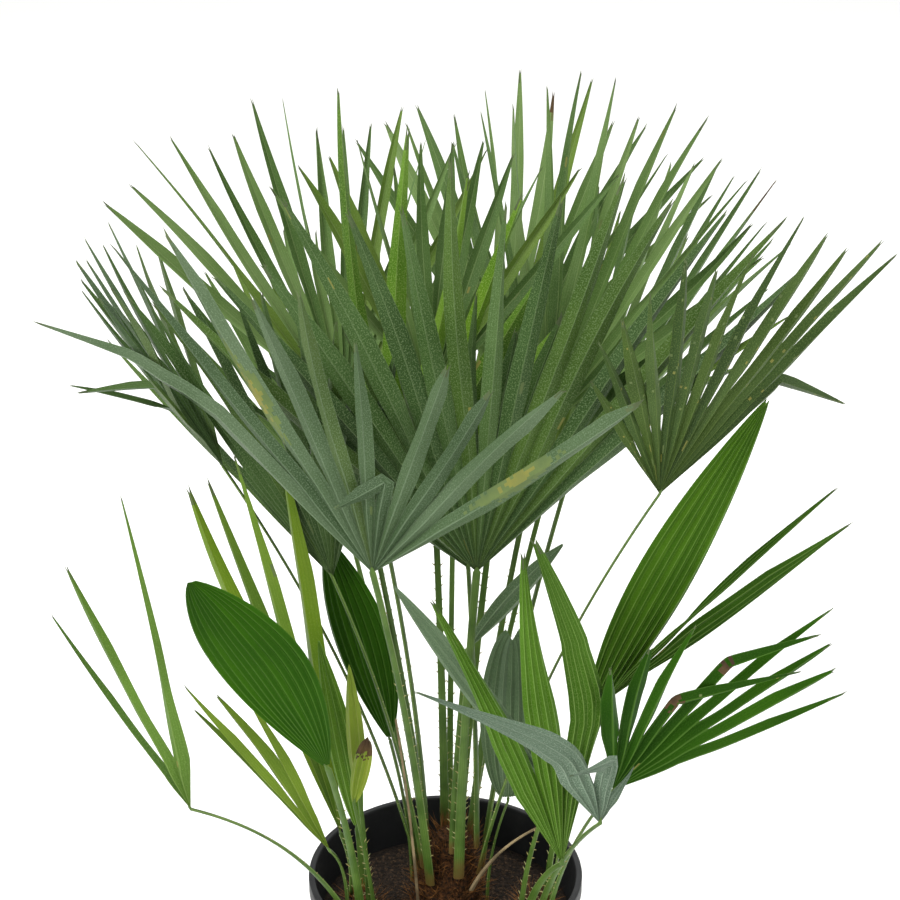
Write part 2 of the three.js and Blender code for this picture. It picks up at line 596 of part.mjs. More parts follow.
// A fan: a pleated web from the hub to the splits, and the leaflets that find room beyond it.
function fanGeometry(frond) {
  const plan = fanPlan(frond);
  const shell = new Shell();
  const thick = plan.length * LEAF_THICKNESS * 0.5;
  const hub = [1, -1].map((side) => shell.point(along(plan.hub, plan.frame.upper, side * thick)));
  const ridges = plan.ridges.map((_, index) => ridgeCorners(plan, shell, index, 0));
  for (const leaflet of plan.leaflets) {
    const easing = EASING.find((option) => isClear(trialSolid(plan, leaflet, option)));
    const free = freeLeaflet(plan, leaflet, easing ?? EASING[0], 0);
    const keel = keelCorners(plan, shell, free, 0);
    const [left, right] = [ridges[leaflet.index], ridges[leaflet.index + 1]];
    shell.triangle(hub[0], left[0], keel[0]);
    shell.triangle(hub[0], keel[0], right[0]);
    shell.triangle(hub[1], keel[1], left[1]);
    shell.triangle(hub[1], right[1], keel[1]);
    if (easing) {
      addFreeLeaflet(shell, [...left, ...keel, ...right], free);
    } else {
      shell.quad(left[0], left[1], keel[1], keel[0]);
      shell.quad(keel[0], keel[1], right[1], right[0]);
    }
  }
  const [first, last] = [ridges[0], ridges[ridges.length - 1]];
  shell.quad(hub[0], hub[1], first[1], first[0]);
  shell.quad(hub[0], last[0], last[1], hub[1]);
  return shell.geometry();
}

// Half the width of an undivided blade at a share of its length.
function youngHalfWidth(frond, share) {
  const power = Math.log(0.5) / Math.log(frond.widest);
  return (frond.wide / 2) * Math.sin(Math.PI * share ** power) ** YOUNG_FULLNESS;
}

// An undivided blade: a long, pointed, slightly folded lens that curls over towards its tip.
function youngGeometry(frond) {
  const frame = bladeFrame(frond);
  const axis = bladeAxis(frond);
  const across = frame.upper.clone().cross(axis);
  const hub = polar(frond.hub);
  const rings = [];
  for (let step = 0; step <= YOUNG_STEPS; step += 1) {
    const share = THREE.MathUtils.lerp(YOUNG_START, YOUNG_END, step / YOUNG_STEPS);
    const half = youngHalfWidth(frond, share);
    const thick = frond.length * LEAF_THICKNESS * 0.5;
    const centre = along(hub, axis, frond.length * share);
    centre.addScaledVector(frame.upper, -frond.curl * share * share);
    const rim = YOUNG_FOLD * half;
    rings.push([
      along(centre, across, half).addScaledVector(frame.upper, rim),
      along(centre, frame.upper, thick),
      along(centre, across, -half).addScaledVector(frame.upper, rim),
      along(centre, frame.upper, -thick),
    ]);
  }
  return loft(rings);
}

// One body out of several that run into each other.
function fused(...geometries) {
  return toGeometry(geometries.map(toSolid).reduce((whole, piece) => whole.add(piece)));
}

place('pot', potGeometry(), 'pot');
place('soil', soilGeometry(), 'soil');
for (const [name, stem] of Object.entries(STEMS)) {
  place(name === 'main' ? 'stem' : `sucker_${name}`, stemGeometry(stem), 'fibre');
}
for (const frond of FANS) {
  place(`stalk_${frond.name}`, stalkGeometry(frond, 0), 'stalk');
}
for (const frond of DRY_STALKS) {
  place(frond.name, stalkGeometry(frond, 0), frond.finish);
}
for (const frond of YOUNG_BLADES) {
  const stalk = stalkGeometry(frond, INTO_YOUNG_BLADE);
  place(`leaf_${frond.name}`, fused(stalk, youngGeometry(frond)), frond.finish);
}
for (const frond of SMALL_FANS) {
  place(`frond_${frond.name}`, fused(stalkGeometry(frond, INTO_FAN), fanGeometry(frond)), frond.finish);
}
for (const frond of FANS) {
  place(`fan_${frond.name}`, fanGeometry(frond), frond.finish);
}

export default palm;
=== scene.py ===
"""Looks of a potted European fan palm: stiff pleated fans on spiny stalks in a black nursery pot.

Sizes are in millimetres, as in the part's source, until a mesh is made in metres.
"""

import logging
import math
from dataclasses import dataclass
from enum import Enum
from math import radians
from typing import Callable, Iterable, Sequence

import bpy
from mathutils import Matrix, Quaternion, Vector, noise
from mathutils.kdtree import KDTree

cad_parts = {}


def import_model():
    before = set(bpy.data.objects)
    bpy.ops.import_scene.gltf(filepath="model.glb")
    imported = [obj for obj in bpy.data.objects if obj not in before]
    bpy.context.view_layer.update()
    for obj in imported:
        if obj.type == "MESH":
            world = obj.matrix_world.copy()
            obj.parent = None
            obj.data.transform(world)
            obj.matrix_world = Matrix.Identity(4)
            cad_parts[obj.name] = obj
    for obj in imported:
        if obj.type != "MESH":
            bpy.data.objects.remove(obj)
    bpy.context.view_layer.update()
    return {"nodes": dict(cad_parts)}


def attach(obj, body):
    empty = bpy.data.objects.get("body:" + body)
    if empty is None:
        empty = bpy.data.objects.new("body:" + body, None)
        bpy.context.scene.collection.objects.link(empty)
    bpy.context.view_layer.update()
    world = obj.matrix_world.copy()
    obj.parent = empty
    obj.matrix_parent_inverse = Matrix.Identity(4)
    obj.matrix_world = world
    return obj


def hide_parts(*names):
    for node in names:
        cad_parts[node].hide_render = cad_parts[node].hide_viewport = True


Socket = bpy.types.NodeSocket
Material = bpy.types.Material
Thing = bpy.types.Object
Row = tuple[Vector, Vector, Vector]
Pair = tuple[int, int]

LOG = logging.getLogger("palm")
METRE = 0.001
UP = Vector((0.0, 0.0, 1.0))
UV_NAME = "UVMap"
UV_PER_MM = 0.01
FLAT = (0.5, 0.0)
CLEAR = 0.3

# Soil
SOIL_TOP = 168.0
SOIL_CROWN = 5.0

# Stalks
STALK_FOOT_SPREAD = 1.45
STALK_FOOT_SHARE = 0.625
STALK_FLATNESS = 0.66
STALK_BOW_AT = 0.45

# Leaflets
FOLD = 0.42
MIDDLE = 0.6
LENGTH_SPREAD = 0.07
SPLIT_SPREAD = 0.14
OUTER_SPLIT = 0.8
SPACING = 0.84
PLAIN_SPOTS = 0.003

# Undivided young blades
YOUNG_FOLD = 0.12


def mix(first: float, second: float, share: float) -> float:
    """The value at a share of the way from the first to the second."""
    return first + (second - first) * share


def ease(value: float) -> float:
    """A soft step from 0 to 1 of a value that is held between 0 and 1."""
    held = min(1.0, max(0.0, value))
    return held * held * (3.0 - 2.0 * held)


def vary(seed: float, index: float) -> float:
    """A fixed spread of values from -1 to 1, by the rule of the part's source."""
    value = math.sin(seed * 12.9898 + index * 78.233) * 43758.5453
    return 2.0 * (value - math.floor(value)) - 1.0


def polar(azimuth: float, reach: float, height: float) -> Vector:
    """A point given by degrees anticlockwise from +X, distance from the pot's axis and height."""
    angle = radians(azimuth)
    return Vector((reach * math.cos(angle), reach * math.sin(angle), height))


def turned(vector: Vector, axis: Vector, degrees: float) -> Vector:
    """A vector turned about an axis."""
    return Quaternion(axis, radians(degrees)) @ vector


def paint(colour: str) -> tuple[float, float, float, float]:
    """A colour for a shader from its six hexadecimal digits.

    Args:
        colour: Digits such as "6c8448".

    Returns:
        Linear red, green, blue and full opacity.
    """
    levels = [int(colour[i:i + 2], 16) / 255.0 for i in (0, 2, 4)]
    linear = [v / 12.92 if v <= 0.04045 else ((v + 0.055) / 1.055) ** 2.4 for v in levels]
    return (linear[0], linear[1], linear[2], 1.0)


def placed(name: str, data: bpy.types.ID) -> Thing:
    """Puts a mesh, a lamp or a camera in the scene.

    Args:
        name: Name of the object.
        data: The mesh, lamp or camera.

    Returns:
        The object, at the origin.
    """
    made = bpy.data.objects.new(name, data)
    bpy.context.scene.collection.objects.link(made)
    return made


class Sketch:
    """A node tree whose nodes are added one after another."""

    tree: bpy.types.NodeTree

    def feed(self, socket: Socket, value: object) -> None:
        """Joins an output to an input, or sets the input to a value.

        Args:
            socket: The input.
            value: An output or a value.
        """
        if isinstance(value, Socket):
            self.tree.links.new(value, socket)
        else:
            socket.default_value = value

    def node(self, kind: str, inputs: dict[str, object] | None = None, **settings: object) -> bpy.types.Node:
        """Adds a node.

        Args:
            kind: The node's type name.
            inputs: An output or a value for each input, by its name.
            **settings: Properties that are set on it.

        Returns:
            The node.
        """
        made = self.tree.nodes.new(kind)
        for key, value in settings.items():
            setattr(made, key, value)
        for name, value in (inputs or {}).items():
            self.feed(made.inputs[name], value)
        return made

    def math(self, operation: str, first: object, second: object, kind: str = "ShaderNodeMath") -> Socket:
        """Adds a sum of two values.

        Args:
            operation: The node's operation.
            first: An output or a value.
            second: An output or a value.
            kind: The node's type name.

        Returns:
            The result.
        """
        made = self.node(kind, operation=operation)
        self.feed(made.inputs[0], first)
        self.feed(made.inputs[1], second)
        return made.outputs[0]


class ShaderSketch(Sketch):
    """A material."""

    def __init__(self, name: str, roughness: float, sheen: float = 0.2) -> None:
        """Starts a material.

        Args:
            name: Name of the material.
            roughness: Roughness of its whole surface.
            sheen: How strongly it mirrors light.
        """
        self.material = bpy.data.materials.new(name)
        self.material.use_nodes = True
        self.tree = self.material.node_tree
        self.shader = self.tree.nodes["Principled BSDF"]
        self.shader.inputs["Roughness"].default_value = roughness
        self.shader.inputs["Specular IOR Level"].default_value = sheen

    def times(self, first: object, second: object) -> Socket:
        """The product of two values."""
        return self.math("MULTIPLY", first, second)

    def unwrapped(self) -> tuple[Socket, Socket, Socket]:
        """Reads the piece's own UV map.

        Returns:
            Its vector, how far across a point is, and how far along.
        """
        uv = self.node("ShaderNodeUVMap", uv_map=UV_NAME).outputs["UV"]
        parts = self.node("ShaderNodeSeparateXYZ", {"Vector": uv})
        return uv, parts.outputs["X"], parts.outputs["Y"]

    def noise(self, scale: float, detail: float = 2.0) -> Socket:
        """Cloudy values over the object.

        Args:
            scale: Spots in a metre.
            detail: Levels of finer spots.

        Returns:
            The values, from 0 to 1.
        """
        place = self.node("ShaderNodeTexCoord").outputs["Object"]
        made = self.node("ShaderNodeTexNoise", {"Scale": scale, "Detail": detail, "Vector": place})
        return made.outputs["Fac"]

    def window(self, value: Socket, low: float, high: float) -> Socket:
        """Spreads a value's range from low to high over 0 to 1."""
        made = self.node("ShaderNodeMapRange", {"From Min": low, "From Max": high, "Value": value})
        return made.outputs["Result"]

    def blend(self, share: Socket, first: object, second: object) -> Socket:
        """Mixes two colours.

        Args:
            share: The second colour's share.
            first: A colour's output or its digits.
            second: A colour's output or its digits.

        Returns:
            The mixed colour.
        """
        made = self.node("ShaderNodeMix", {"Factor": share}, data_type="RGBA")
        for name, value in (("A", first), ("B", second)):
            socket = next(s for s in made.inputs if s.name == name and s.type == "RGBA")
            self.feed(socket, paint(value) if isinstance(value, str) else value)
        return next(s for s in made.outputs if s.type == "RGBA")

    def relief(self, height: Socket, depth: float, strength: float) -> None:
        """Lets a value stand out of the surface, as far as a depth in metres for 1."""
        bump = self.node("ShaderNodeBump", {"Distance": depth, "Strength": strength, "Height": height})
        self.feed(self.shader.inputs["Normal"], bump.outputs["Normal"])

    def finished(self, colour: Socket) -> Material:
        """Gives the surface its colour and hands over the material."""
        self.feed(self.shader.inputs["Base Color"], colour)
        return self.material


class NodeSketch(Sketch):
    """A geometry node tree with named inputs."""

    def __init__(self, name: str) -> None:
        """Starts a tree with a geometry input and a geometry output.

        Args:
            name: Name of the tree.
        """
        self.tree = bpy.data.node_groups.new(name, "GeometryNodeTree")
        self.tree.interface.new_socket("Geometry", in_out="INPUT", socket_type="NodeSocketGeometry")
        self.tree.interface.new_socket("Geometry", in_out="OUTPUT", socket_type="NodeSocketGeometry")
        self.values: dict[str, object] = {}
        self.start = self.tree.nodes.new("NodeGroupInput")
        self.end = self.tree.nodes.new("NodeGroupOutput")

    def size(self, name: str, value: object, kind: str = "NodeSocketFloat") -> None:
        """Adds a named input of some socket type, with the value that the piece uses."""
        socket = self.tree.interface.new_socket(name, in_out="INPUT", socket_type=kind)
        self.values[socket.identifier] = value

    def given(self, name: str) -> Socket:
        """The group input's socket of that name."""
        return self.start.outputs[name]

    def random(self, kind: str, low: object, high: object, seed: int) -> Socket:
        """Adds a random value.

        Args:
            kind: FLOAT or FLOAT_VECTOR.
            low: Lowest value.
            high: Highest value.
            seed: Fixed seed of this value.

        Returns:
            The value.
        """
        made = self.node("FunctionNodeRandomValue", {"Seed": seed}, data_type=kind)
        wanted = "VECTOR" if kind == "FLOAT_VECTOR" else "VALUE"
        sockets = {s.name: s for s in made.inputs if s.type == wanted}
        self.feed(sockets["Min"], low)
        self.feed(sockets["Max"], high)
        return next(s for s in made.outputs if s.type == wanted)

    def strewn(self, density: Socket, seed: int) -> bpy.types.Node:
        """Strews points over the given faces, as many to a square metre as the density says."""
        return self.node("GeometryNodeDistributePointsOnFaces",
                         {"Mesh": self.given("Geometry"), "Density": density, "Seed": seed})

    def needle(self, sides: int) -> Socket:
        """A thin cone that takes its size from the inputs Radius and Length."""
        sizes = {"Vertices": sides, "Radius Bottom": self.given("Radius"), "Depth": self.given("Length")}
        return self.node("GeometryNodeMeshCone", sizes).outputs["Mesh"]

    def aimed(self, heading: Socket) -> Socket:
        """A rotation that points +Z along a heading."""
        made = self.node("FunctionNodeAlignRotationToVector", {"Vector": heading}, axis="Z")
        return made.outputs["Rotation"]

    def copy(self, points: Socket, copied: Socket, rotation: Socket, scale: Socket,
             material: Material) -> None:
        """Ends the tree with a copy on each point, as plain geometry in one material.

        Args:
            points: The points.
            copied: What is copied.
            rotation: Rotation of each copy.
            scale: Scale of each copy.
            material: The material that they get.
        """
        copies = self.node("GeometryNodeInstanceOnPoints",
                           {"Points": points, "Instance": copied, "Rotation": rotation, "Scale": scale})
        real = self.node("GeometryNodeRealizeInstances", {"Geometry": copies.outputs["Instances"]})
        dress = self.node("GeometryNodeSetMaterial",
                          {"Geometry": real.outputs["Geometry"], "Material": material})
        self.feed(self.end.inputs[0], dress.outputs["Geometry"])

    def made_mesh(self, guide: Thing, name: str) -> Thing:
        """Runs the tree on a guide object and keeps the result.

        Args:
            guide: The object whose geometry the tree starts from.
            name: Name of the piece.

        Returns:
            A plain mesh object with no modifier.
        """
        modifier = guide.modifiers.new(name, "NODES")
        modifier.node_group = self.tree
        for identifier, value in self.values.items():
            modifier[identifier] = value
        depsgraph = bpy.context.evaluated_depsgraph_get()
        mesh = bpy.data.meshes.new_from_object(guide.evaluated_get(depsgraph))
        guide.modifiers.remove(modifier)
        mesh.name = name
        mesh.shade_smooth()
        return placed(name, mesh)


@dataclass(frozen=True)
class LeafFinish:
    """The skin of one side of a leaflet, with pale ribs, fine veins and speckle.

    speckle is the share of pale scurf, lines how strongly ribs show, rib_width their share of a
    fold, veins the fine veins in a fold, grain the specks along 100 mm, grain_across how much
    longer than wide they are, gathered how far ribs close up at the hub, and painted_hub_shade how
    much darker the leaf is painted there as shade, each up to a distance in units of 100 mm. The
    fold between two ribs is drawn paler and narrower than a rib. clouds and scurf are ranges of
    noise, relief is its depth in metres and its strength.
    """

    name: str
    colour: str
    shade: str
    rib: str
    speckle: float
    lines: float
    rib_width: float
    gloss: float
    roughness: float = 0.5
    veins: float = 4.0
    vein_depth: float = 0.42
    grain: float = 74.0
    grain_across: float = 0.26
    gathered: float = 0.06
    gathered_to: float = 1.2
    # painted shade near the hub: how much darker the leaf is drawn there, and out to what distance
    painted_hub_shade: float = 0.75
    painted_hub_shade_to: float = 1.6
    rib_edge: float = 0.495
    fold_width: float = 0.7
    fold_lines: float = 0.5
    cloud_scale: float = 14.0
    clouds: tuple[float, float] = (0.3, 0.7)
    scurf: tuple[float, float] = (0.5, 0.66)
    vein_relief: float = 0.3
    relief: tuple[float, float] = (0.0006, 0.5)

    def material(self) -> Material:
        """Makes the material.

        Returns:
            A material that reads the fold count and the distance from the leaflet's UV map.
        """
        sketch = ShaderSketch(self.name, self.roughness, self.gloss)
        uv, folds, distance = sketch.unwrapped()
        across = sketch.math("PINGPONG", folds, 0.5)
        gathered = sketch.times(sketch.window(distance, self.gathered_to, 0.0), self.gathered)
        rib = sketch.window(sketch.math("ADD", across, gathered), self.rib_edge - self.rib_width,
                            self.rib_edge)
        fold = sketch.window(sketch.math("SUBTRACT", across, gathered),
                             self.fold_width * self.rib_width, 0.0)
        vein = sketch.math("SINE", sketch.times(across, self.veins * 4.0 * math.pi), 0.0)
        vein_share = sketch.window(vein, -1.0, 1.0)
        clouds = sketch.window(sketch.noise(self.cloud_scale), *self.clouds)
        # painted shade: the leaf is darkened towards the hub, where the pleated web lies in its own shadow
        inner = sketch.times(sketch.window(distance, self.painted_hub_shade_to, 0.1), self.painted_hub_shade)
        base = sketch.blend(sketch.math("MAXIMUM", clouds, inner), self.colour, self.shade)
        streaked = sketch.blend(sketch.times(vein_share, self.vein_depth), base, self.shade)
        stretch = (self.grain * self.grain_across, self.grain, 1.0)
        place = sketch.math("MULTIPLY", uv, stretch, "ShaderNodeVectorMath")
        dots = sketch.node("ShaderNodeTexNoise", {"Vector": place, "Scale": 1.0}).outputs["Fac"]
        speckle = sketch.times(sketch.window(dots, *self.scurf), self.speckle)
        speckled = sketch.blend(speckle, streaked, self.rib)
        lines = sketch.math("MAXIMUM", rib, sketch.times(fold, self.fold_lines))
        ribbed = sketch.blend(sketch.times(lines, self.lines), speckled, self.rib)
        raised = sketch.math("ADD", sketch.times(vein_share, self.vein_relief), lines)
        sketch.relief(raised, *self.relief)
        return sketch.finished(ribbed)


@dataclass(frozen=True)
class StalkFinish:
    """Smooth green stalk, streaked along, paler on its edges and brown at its foot.

    streaks is how many fine streaks run round it, edge_width and edge_share how broad and how
    strong the pale edges are, clouds a scale and detail of noise, fibre the span of its UV
    length, counted from the foot, over which the brown fades, ragged how uneven its end is, and
    relief its depth in metres and its strength.
    """

    name: str
    colour: str
    shade: str
    edge: str
    foot: str
    roughness: float = 0.42
    streaks: float = 90.0
    streak_range: tuple[float, float] = (0.2, 1.6)
    edge_width: float = 0.05
    edge_share: float = 0.7
    clouds: tuple[float, float] = (45.0, 3.0)
    cloud_range: tuple[float, float] = (0.35, 0.65)
    fibre: tuple[float, float] = (0.32, 0.1)
    ragged: float = 0.12
    relief: tuple[float, float] = (0.0002, 0.3)

    def material(self) -> Material:
        """Makes the material.

        Returns:
            A material that reads from its UV map how far round and along the stalk a point is.
        """
        sketch = ShaderSketch(self.name, self.roughness)
        _, around, along = sketch.unwrapped()
        edge = sketch.window(sketch.math("PINGPONG", around, 0.25), self.edge_width, 0.0)
        streaks = sketch.math("SINE", sketch.times(around, self.streaks), 0.0)
        clouds = sketch.window(sketch.noise(*self.clouds), *self.cloud_range)
        base = sketch.blend(clouds, self.colour, self.shade)
        fine = sketch.blend(sketch.window(streaks, *self.streak_range), base, self.shade)
        pale = sketch.blend(sketch.times(edge, self.edge_share), fine, self.edge)
        ragged = sketch.math("ADD", along, sketch.times(clouds, self.ragged))
        footed = sketch.blend(sketch.window(ragged, *self.fibre), pale, self.foot)
        sketch.relief(streaks, *self.relief)
        return sketch.finished(footed)


@dataclass(frozen=True)
class CloudFinish:
    """Clouds of two colours with a relief: dead leaf, fibre, soil, plastic or paper.

    clouds is the scale and detail of the clouds, fade the values between which they change, grain
    the scale and detail of the relief, or None for the clouds themselves, relief its depth in
    metres and its strength, or None for a flat surface, and uneven the scale and detail of the
    clouds in its gloss, or None for an even one.
    """

    name: str
    colour: str
    shade: str
    roughness: float = 0.8
    clouds: tuple[float, float] = (60.0, 4.0)
    fade: tuple[float, float] = (0.35, 0.65)
    grain: tuple[float, float] | None = (900.0, 2.0)
    relief: tuple[float, float] | None = (0.0005, 0.4)
    sheen: float = 0.2
    uneven: tuple[float, float] | None = None
    uneven_range: tuple[float, float] = (-0.9, 1.6)

    def material(self) -> Material:
        """Makes the material.

        Returns:
            A material with clouds and relief at the finish's scales.
        """
        sketch = ShaderSketch(self.name, self.roughness, self.sheen)
        clouds = sketch.window(sketch.noise(*self.clouds), *self.fade)
        if self.uneven:
            gloss = sketch.window(sketch.noise(*self.uneven), *self.uneven_range)
            sketch.feed(sketch.shader.inputs["Roughness"], gloss)
        if self.relief:
            sketch.relief(sketch.noise(*self.grain) if self.grain else clouds, *self.relief)
        return sketch.finished(sketch.blend(clouds, self.colour, self.shade))


def grains(name: str, colour: str, shade: str, scale: float, depth: float) -> CloudFinish:
    """Soil or fibre: coarse spots of two colours that stand out of the surface."""
    return CloudFinish(name, colour, shade, 0.92, (scale, 5.0), (0.36, 0.64), None, (depth, 0.8))


class Dress(Enum):
    """The looks of a frond: colour and shade of its under side and its upper side, and its ribs."""

    GLAUCOUS = ("4a5e3e", "3a4f2f", "465f30", "37511f", "869a7c")
    GREY = ("536b48", "42583a", "536b48", "42583a", "94a880")
    SILVER = ("5b6f5a", "4a5e4a", "5b6f5a", "4a5e4a", "a2b29e")
    DEEP = ("466131", "2d4718", "4a6a2c", "304c16", "83996a")
    RUSTY = ("3c5424", "2b4114", "3d5520", "2c4112", "6b7e45")
    GREEN = ("597840", "44622d", "637d46", "4c692f", "93a66d")
    LUSH = ("618627", "456c12", "3f6a0c", "2c5004", "9db566")
    MEADOW = ("4c6f22", "3c5b16", "4c6f22", "3c5b16", "88a05a")
    BRIGHT = ("6a8428", "507016", "66871b", "4b700e", "9cb05a")
    OLIVE = ("587414", "425c0b", "587414", "425c0b", "8c9c4c")
    FRESH = ("517722", "395e0c", "4b721b", "355a0c", "97b563")
    # SUNLIT is a brighter copy of YOUNG: painted sunlight for the blades that face the light
    SUNLIT = ("406814", "2b4e06", "406814", "2b4e06", "83a153")
    YOUNG = ("2a5304", "1d4202", "2a5304", "1d4202", "5b8036")
    YELLOW = ("7f8f2c", "67801f", "7c9022", "5f7a18", "a5ab5c")

    def sides(self) -> list[tuple[str, str]]:
        """Colour and shade of the under side, then of the upper side."""
        under, under_shade, upper, upper_shade, _ = self.value
        return [(under, under_shade), (upper, upper_shade)]

    @property
    def rib(self) -> str:
        """Colour of the ribs."""
        return self.value[4]

    @property
    def speckle(self) -> float:
        """How much pale scurf covers the under side."""
        return {Dress.GLAUCOUS: 0.3, Dress.GREY: 0.4, Dress.SILVER: 0.6, Dress.DEEP: 0.42, Dress.RUSTY: 0.4,
                Dress.GREEN: 0.4, Dress.LUSH: 0.5, Dress.FRESH: 0.3, Dress.MEADOW: 0.3}.get(self, 0.12)

    @property
    def ribbing(self) -> tuple[float, float, float]:
        """How strong and how wide the ribs are, and the gloss: young blades have bold ribs."""
        bold = self in (Dress.SUNLIT, Dress.YOUNG, Dress.FRESH)
        return (0.5, 0.075, 0.05) if bold else (0.34, 0.036, 0.15)


TONES = (("plain", (1.0, 1.0, 1.0)), ("pale", (1.16, 1.1, 1.22)), ("dark", (0.82, 0.86, 0.82)),
         ("warm", (1.06, 1.03, 0.78)))
TIP = CloudFinish("leaf_tip_dry", "566440", "454f34")
BURNT = CloudFinish("leaf_burnt", "5c482c", "37291b")
YELLOWED = CloudFinish("leaf_yellowed", "7c7a38", "6c7038", 0.55)
YELLOWING = CloudFinish("leaf_yellowing", "606f3c", "53643a", 0.55)
STALK = StalkFinish("stalk_green", "55702f", "3f5a20", "869a5a", "65512a")
LOOSE_FIBRE = CloudFinish("loose_fibre", "8a5c2c", "4e3318")
DEAD_STALK = CloudFinish("dead_stalk", "a08d6a", "6c5e46")
SPINE = CloudFinish("spine_pale", "b4b47c", "94874f", 0.5)
STEM_FIBRE = grains("stem_fibre", "543419", "20150a", 380.0, 0.0015)
SOIL = grains("potting_soil", "2e241b", "15100c", 260.0, 0.003)
GRAIN = grains("soil_grain", "4a3a2b", "1f1812", 500.0, 0.0008)
POT = CloudFinish("pot_plastic", "141516", "212220", 0.38, (35.0, 6.0), (0.5, 0.8), (1300.0, 1.0),
                  (0.0002, 0.3), 0.32, (90.0, 3.0))
FLOOR = CloudFinish("floor_paper", "f4f4f2", "efefed", 0.9, (3.0, 2.0), (0.0, 1.0), relief=None)


def toned(colour: str, factors: tuple[float, float, float]) -> str:
    """A colour's digits, with its red, green and blue levels multiplied by factors."""
    levels = [min(255, round(int(colour[2 * i:2 * i + 2], 16) * factor)) for i, factor in enumerate(factors)]
    return "".join(f"{level:02x}" for level in levels)


class Palette:
    """Keeps each material once, by its finish's name."""

    def __init__(self) -> None:
        """Starts with no materials."""
        self.made: dict[str, Material] = {}

    def get(self, finish: object) -> Material:
        """Gives the material of a finish.

        Args:
            finish: The finish.

        Returns:
            Its material, made at its first use.
        """
        if finish.name not in self.made:
            self.made[finish.name] = finish.material()
        return self.made[finish.name]

    def leaf(self, dress: Dress) -> list[Material]:
        """The materials of a leaf, in the order of its mesh's slots.

        Args:
            dress: The look of the frond.

        Returns:
            Under and upper side in each tone, then the materials of the slots that Slot names.
        """
        kinds = []
        for tone, factors in TONES:
            for side, (colour, shade) in zip(("under", "upper"), dress.sides()):
                name = f"leaf_{dress.name.lower()}_{side}_{tone}"
                speckle = dress.speckle * (1.0 if side == "under" else 0.6)
                kinds.append(self.get(LeafFinish(name, toned(colour, factors), toned(shade, factors),
                                                 dress.rib, speckle, *dress.ribbing)))
        return kinds + [self.get(f) for f in (TIP, BURNT, YELLOWED, YELLOWING, STALK)]


class Slot:
    """Places of the shared materials in a leaf's mesh, after its tones."""

    TIP = 8
    BURNT = 9
    YELLOWED = 10
    YELLOWING = 11
    STALK = 12


